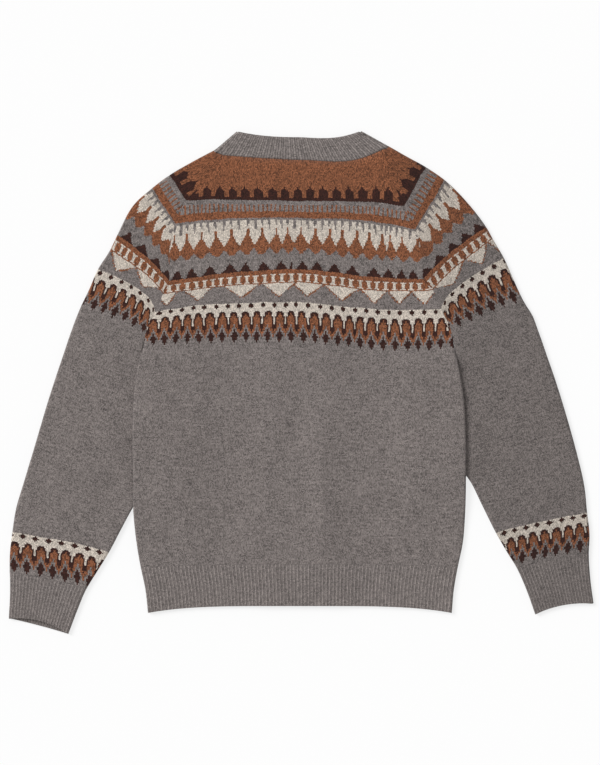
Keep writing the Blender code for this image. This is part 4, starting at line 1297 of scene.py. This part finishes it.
def neck_front(side, count):
    """Seam and edge points along the front neckline, from the shoulder to the band."""
    fold = YOKE_ROWS[side][0]
    raglan = FRONT_YOKE_ROWS[0]
    end = np.array([getattr(raglan, side + "_x"), getattr(raglan, side + "_y")])
    first = np.array([fold.fold_x, fold.fold_y]) * 0.985
    distance = np.linspace(0, front_length(side, 0), 60)
    curve = front_point(side, distance, np.zeros(60))[:, :2]
    path = np.vstack([np.linspace(first, end, 30)[:-1], curve])
    steps = distances(path)
    share = np.linspace(0, 1, count)
    seam = np.column_stack([np.interp(share * steps[-1], steps, path[:, axis]) for axis in (0, 1)])
    a, b, c, d = [np.array(corner, float) for corner in NECK_FRONT_EDGE]
    t = share[:, None]
    edge = a * (1 - t) ** 3 + 3 * b * t * (1 - t) ** 2 + 3 * c * t ** 2 * (1 - t) + d * t ** 3
    if side == "right":
        edge[:, 0] *= -1
    return [np.column_stack([line, WALL / 2 + front_rise(line[:, 0])]) for line in (seam, edge)]


halves = {}
for side in ("left", "right"):
    fold, front = neck_fold(side, 9), neck_front(side, 90)
    halves[side] = [np.vstack([fold[n], front[n][1:]]) for n in (0, 1)]
across = neck_back(121)
seam_line, edge_line = [np.vstack([halves["left"][n][::-1], across[n], halves["right"][n]]) for n in (0, 1)]
steps = distances((seam_line + edge_line) / 2)
neck_ribs = round(steps[-1] / RIB_PITCH["neck"])
stations = np.linspace(0, steps[-1], 4 * neck_ribs + 1)
seam_at, edge_at = [np.column_stack([np.interp(stations, steps, line[:, axis]) for axis in range(3)])
                    for line in (seam_line, edge_line)]
depth_share = np.linspace(0.002, 1, 12)
neck_grid = seam_at[None] + (edge_at - seam_at)[None] * depth_share[:, None, None]
wave = np.broadcast_to(np.linspace(0, neck_ribs, len(stations)), neck_grid.shape[:2])
neck_grid = ribs(neck_grid, wave, NECK_RIB_DEPTH * smooth(depth_share / 0.25)[:, None], -1.0)
neck_uvs = np.stack([wave * 2 + 0.5, np.broadcast_to(depth_share[:, None] * 20, neck_grid.shape[:2])], -1)
neckband = thicken(grid_object("neckband_rib", neck_grid, neck_uvs, ribbed["neck"], flip=True), offset=0.0)
print("neckband", neck_ribs, "ribs,", round(steps[-1]), "mm along its middle")

# %% [markdown]
# ## Bands and buttons
# The bands run the length of the front, one lapped over the other. The upper one is cut by a slot at each
# button. The slots are cells left out of its grid, so the wall closes round them.

# %% Bands
BUTTON_COUNT = 8
BUTTON_RADIUS = 9.0
TOP_BUTTON_INSET = 14.0
FOOT_BUTTON_INSET = 22.0
SLOT_LENGTH = 19.0
SLOT_WIDTH = 2.4
first_button = BAND_TOP - TOP_BUTTON_INSET
last_button = BAND_FOOT + FOOT_BUTTON_INSET
button_run = last_button - first_button
button_ys = [first_button + button_run * n / (BUTTON_COUNT - 1) for n in range(BUTTON_COUNT)]


def band(name, side, slots):
    """A straight strip of rib, with or without buttonholes."""
    count = round(BAND_WIDTH / RIB_PITCH["band"])
    xs = np.linspace(-BAND_WIDTH / 2, BAND_WIDTH / 2, 4 * count + 1)
    ys = list(np.linspace(BAND_TOP, BAND_FOOT, 64))
    if slots:
        ys = [y for y in ys if min(abs(y - at) for at in button_ys) > SLOT_WIDTH]
        ys += [at + half for at in button_ys for half in (-SLOT_WIDTH / 2, SLOT_WIDTH / 2)]
        ys.sort(reverse=True)
    grid = np.array([[(x, y, BAND_Z[side]) for x in xs] for y in ys])
    wave = np.broadcast_to((xs + BAND_WIDTH / 2) / BAND_WIDTH * count, grid.shape[:2])
    missing = set()
    for row in range(len(ys) - 1):
        middle = (ys[row] + ys[row + 1]) / 2
        if slots and min(abs(middle - at) for at in button_ys) < SLOT_WIDTH / 4:
            missing |= {(row, cell) for cell in range(len(xs) - 1)
                        if abs(xs[cell] + xs[cell + 1]) / 2 < SLOT_LENGTH / 2}
    grid = ribs(grid, wave, RIB_DEPTH / 2, -1.0)
    uvs = np.stack([wave * 2 + 0.5, -grid[..., 1] / COURSE], -1)
    return thicken(grid_object(name, grid, uvs, ribbed["band"], missing=missing), offset=0.0, wall=WALL - 0.2)


buttonhole_band = band("buttonhole_band_rib", "left", slots=True)
button_band = band("button_band_rib", "right", slots=False)

# %% [markdown]
# The buttons are turned from brown resin made to look like horn: a dished face with a raised rim, four
# holes and a polished surface with streaks. A turned shape is a profile spun round, and the holes are cut
# by a Boolean.

# %% Horn
def horn():
    """Polished resin with streaks like horn's."""
    made = bpy.data.materials.new("polished horn resin")
    made.use_nodes = True
    tree = made.node_tree
    shader = tree.nodes["Principled BSDF"]
    shader.inputs["Roughness"].default_value = 0.28
    shader.inputs["IOR"].default_value = 1.53
    there = node(tree, "ShaderNodeTexCoord")
    streaks = node(tree, "ShaderNodeTexNoise", Vector=there.outputs["Object"], Scale=210.0, Detail=4.0,
                   Distortion=1.4)
    ramp = node(tree, "ShaderNodeValToRGB", Fac=streaks.outputs[0])
    ramp.color_ramp.elements[0].color = rgb("#2A170E")
    ramp.color_ramp.elements[0].position = 0.35
    ramp.color_ramp.elements[1].color = rgb("#6B452B")
    ramp.color_ramp.elements[1].position = 0.7
    tree.links.new(ramp.outputs[0], shader.inputs["Base Color"])
    return made


horn_resin = horn()

# %% [markdown]
# A button's profile runs from the middle of its face over the rim to the middle of its back. The eight
# buttons lie face down on the table, as the garment lies on its front.

# %% Buttons
HOLE_RADIUS = 1.0
HOLE_PITCH = 4.0
BUTTON_PROFILE = [      # distance from the axis and height, from the face that shows to the one behind
    (0.0, 0.7), (5.2, 0.7), (6.0, 0.5), (6.6, 0.1), (7.4, 0.0), (8.3, 0.2), (8.9, 0.8), (9.0, 1.3),
    (8.8, 1.9), (8.0, 2.3), (6.5, 2.4), (0.0, 2.4),
]
SPOKES = 40


def turned(name, profile, spokes):
    """A profile spun round the Z axis, closed at both poles."""
    points, faces = [], []
    for radius, z in profile[1:-1]:
        for spoke in range(spokes):
            angle = 2 * math.pi * spoke / spokes
            points.append((radius * math.cos(angle), radius * math.sin(angle), z))
    rings = len(profile) - 2
    for ring in range(rings - 1):
        for spoke in range(spokes):
            after = (spoke + 1) % spokes
            a, b = ring * spokes + spoke, ring * spokes + after
            faces.append((a, a + spokes, b + spokes, b))
    faces.append([spoke for spoke in range(spokes)])
    faces.append([(rings - 1) * spokes + spoke for spoke in reversed(range(spokes))])
    return mesh_object(name, points, faces)


def drilled(blank):
    """The blank's mesh with its four holes cut."""
    tools = []
    for dx in (-HOLE_PITCH / 2, HOLE_PITCH / 2):
        for dy in (-HOLE_PITCH / 2, HOLE_PITCH / 2):
            drill = turned("drill", [(0, -2), (HOLE_RADIUS, -2), (HOLE_RADIUS, 5), (0, 5)], 16)
            drill.data.flip_normals()
            drill.location = (dx * MM, dy * MM, 0)
            cut = blank.modifiers.new("Hole", "BOOLEAN")
            cut.object = drill
            tools.append(drill)
    bpy.context.view_layer.update()
    mesh = bpy.data.meshes.new_from_object(blank.evaluated_get(bpy.context.evaluated_depsgraph_get()))
    for tool in tools + [blank]:
        bpy.data.objects.remove(tool)
    mesh.shade_smooth()
    mesh.set_sharp_from_angle(angle=math.radians(45))
    return mesh


blank = turned("blank", BUTTON_PROFILE, SPOKES)
blank.data.flip_normals()
button_mesh = drilled(blank)
button_mesh.materials.clear()
button_mesh.materials.append(horn_resin)
buttons = []
for number, y in enumerate(button_ys, 1):
    made = bpy.data.objects.new(f"button_turned_{number}", button_mesh.copy())
    made.data.transform(Matrix.Translation((0, y * MM, 0)))
    bpy.context.scene.collection.objects.link(made)
    buttons.append(made)

print("buttons", len(buttons), "with", len(button_mesh.vertices), "points each")

# %% [markdown]
# ## What rides on what
# The cardigan has no joints, so every piece rides on the one body, and each stands for one solid.

# %% Ride and replace
made_for = {
    "back": back, "hem_back": hem_back, "neckband": neckband,
    "buttonhole_band": buttonhole_band, "button_band": button_band,
}
for side in ("left", "right"):
    made_for[f"front_{side}"] = fronts[side]
    made_for[f"hem_front_{side}"] = front_hems[side]
    made_for[f"sleeve_{side}"] = sleeves[side]
    made_for[f"cuff_{side}"] = cuffs[side]
for number, made in enumerate(buttons, 1):
    made_for[f"button_{number}"] = made
for name, made in made_for.items():
    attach(made, "root")
    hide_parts(name)

# %% [markdown]
# ## The cut of each sheet
# These are the flat sizes of the pieces before they were sewn, in metres: the widest place by the length,
# and the area where the shape isn't a rectangle.

# %% Sheets
Cut = namedtuple("Cut", "width length area rests_on")
CUTS = {
    "back": Cut(0.500, 0.620, 0.280, ["front_panel_left", "front_panel_right"]),
    "hem_back": Cut(0.476, 0.063, None, ["hem_rib_front_left", "hem_rib_front_right"]),
    "front_left": Cut(0.238, 0.575, 0.112, ["sleeve_panel_left"]),
    "front_right": Cut(0.232, 0.575, 0.110, ["sleeve_panel_right"]),
    "hem_front_left": Cut(0.225, 0.063, None, []),
    "hem_front_right": Cut(0.220, 0.063, None, []),
    "sleeve_left": Cut(0.380, 0.733, 0.176, []),
    "sleeve_right": Cut(0.405, 0.714, 0.178, []),
    "cuff_left": Cut(0.241, 0.070, 0.0156, []),
    "cuff_right": Cut(0.224, 0.074, 0.0153, []),
    "neckband": Cut(0.591, 0.037, 0.0196, []),
    "buttonhole_band": Cut(0.030, 0.627, None, []),
    "button_band": Cut(0.030, 0.627, None, ["buttonhole_band_rib"]),
}
for name, cut in CUTS.items():
    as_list(cut.rests_on)

# %% [markdown]
# ## Table, light and camera
# The cardigan lies on a white table that is lit from within, so the picture's ground is white up to the edge
# of the cloth.

# %% Floor
FLOOR_SIZE = 14.0
FLOOR_Z = -0.0003               # just below the garment, which rests at 0
floor_mesh = bpy.data.meshes.new("table_top")
half = FLOOR_SIZE / 2
corners = [(-half, -half, FLOOR_Z), (half, -half, FLOOR_Z), (half, half, FLOOR_Z), (-half, half, FLOOR_Z)]
floor_mesh.from_pydata(corners, [], [(0, 1, 2, 3)])
floor = bpy.data.objects.new("table_top", floor_mesh)
bpy.context.scene.collection.objects.link(floor)
acrylic = bpy.data.materials.new("lit white acrylic table")
acrylic.use_nodes = True
acrylic_shader = acrylic.node_tree.nodes["Principled BSDF"]
acrylic_shader.inputs["Base Color"].default_value = (0.24, 0.24, 0.24, 1)
acrylic_shader.inputs["Roughness"].default_value = 0.9
acrylic_shader.inputs["Specular IOR Level"].default_value = 0.1
acrylic_shader.inputs["Emission Color"].default_value = (1, 1, 1, 1)
acrylic_shader.inputs["Emission Strength"].default_value = 0.73
floor_mesh.materials.append(acrylic)

# %% [markdown]
# A broad soft light comes from the upper left, and an even sky fills the shadows.

# %% Light
SKY = 0.55
LAMP = 2.45
world = bpy.data.worlds.new("studio")
bpy.context.scene.world = world
world.use_nodes = True
world.node_tree.nodes["Background"].inputs[0].default_value = (1, 1, 1, 1)
world.node_tree.nodes["Background"].inputs[1].default_value = SKY
lamp = bpy.data.lights.new("soft window", "SUN")
lamp.energy = LAMP
lamp.angle = math.radians(28)
lamp_object = bpy.data.objects.new("soft window", lamp)
lamp_object.rotation_euler = (math.radians(-22), math.radians(-46), 0)
bpy.context.scene.collection.objects.link(lamp_object)

# %% [markdown]
# The camera hangs straight above with a long lens, so hardly any side of the garment shows.

# %% Camera
CAMERA_HEIGHT = 6.0
PICTURE_X = -0.0015             # the picture's middle lies one pixel left of the garment's
FRAME_HEIGHT = 1.1475           # what the picture's 765 pixels show, at 1.5 mm each
SENSOR = 24.0
camera = bpy.data.cameras.new("overhead")
camera.sensor_fit = "VERTICAL"
camera.sensor_height = SENSOR
camera.lens = SENSOR * (CAMERA_HEIGHT - THICK * MM) / FRAME_HEIGHT
camera.clip_end = 50
camera_object = bpy.data.objects.new("overhead", camera)
camera_object.location = (PICTURE_X, 0, CAMERA_HEIGHT)
bpy.context.scene.collection.objects.link(camera_object)
bpy.context.scene.camera = camera_object
bpy.context.scene.view_settings.view_transform = "Standard"
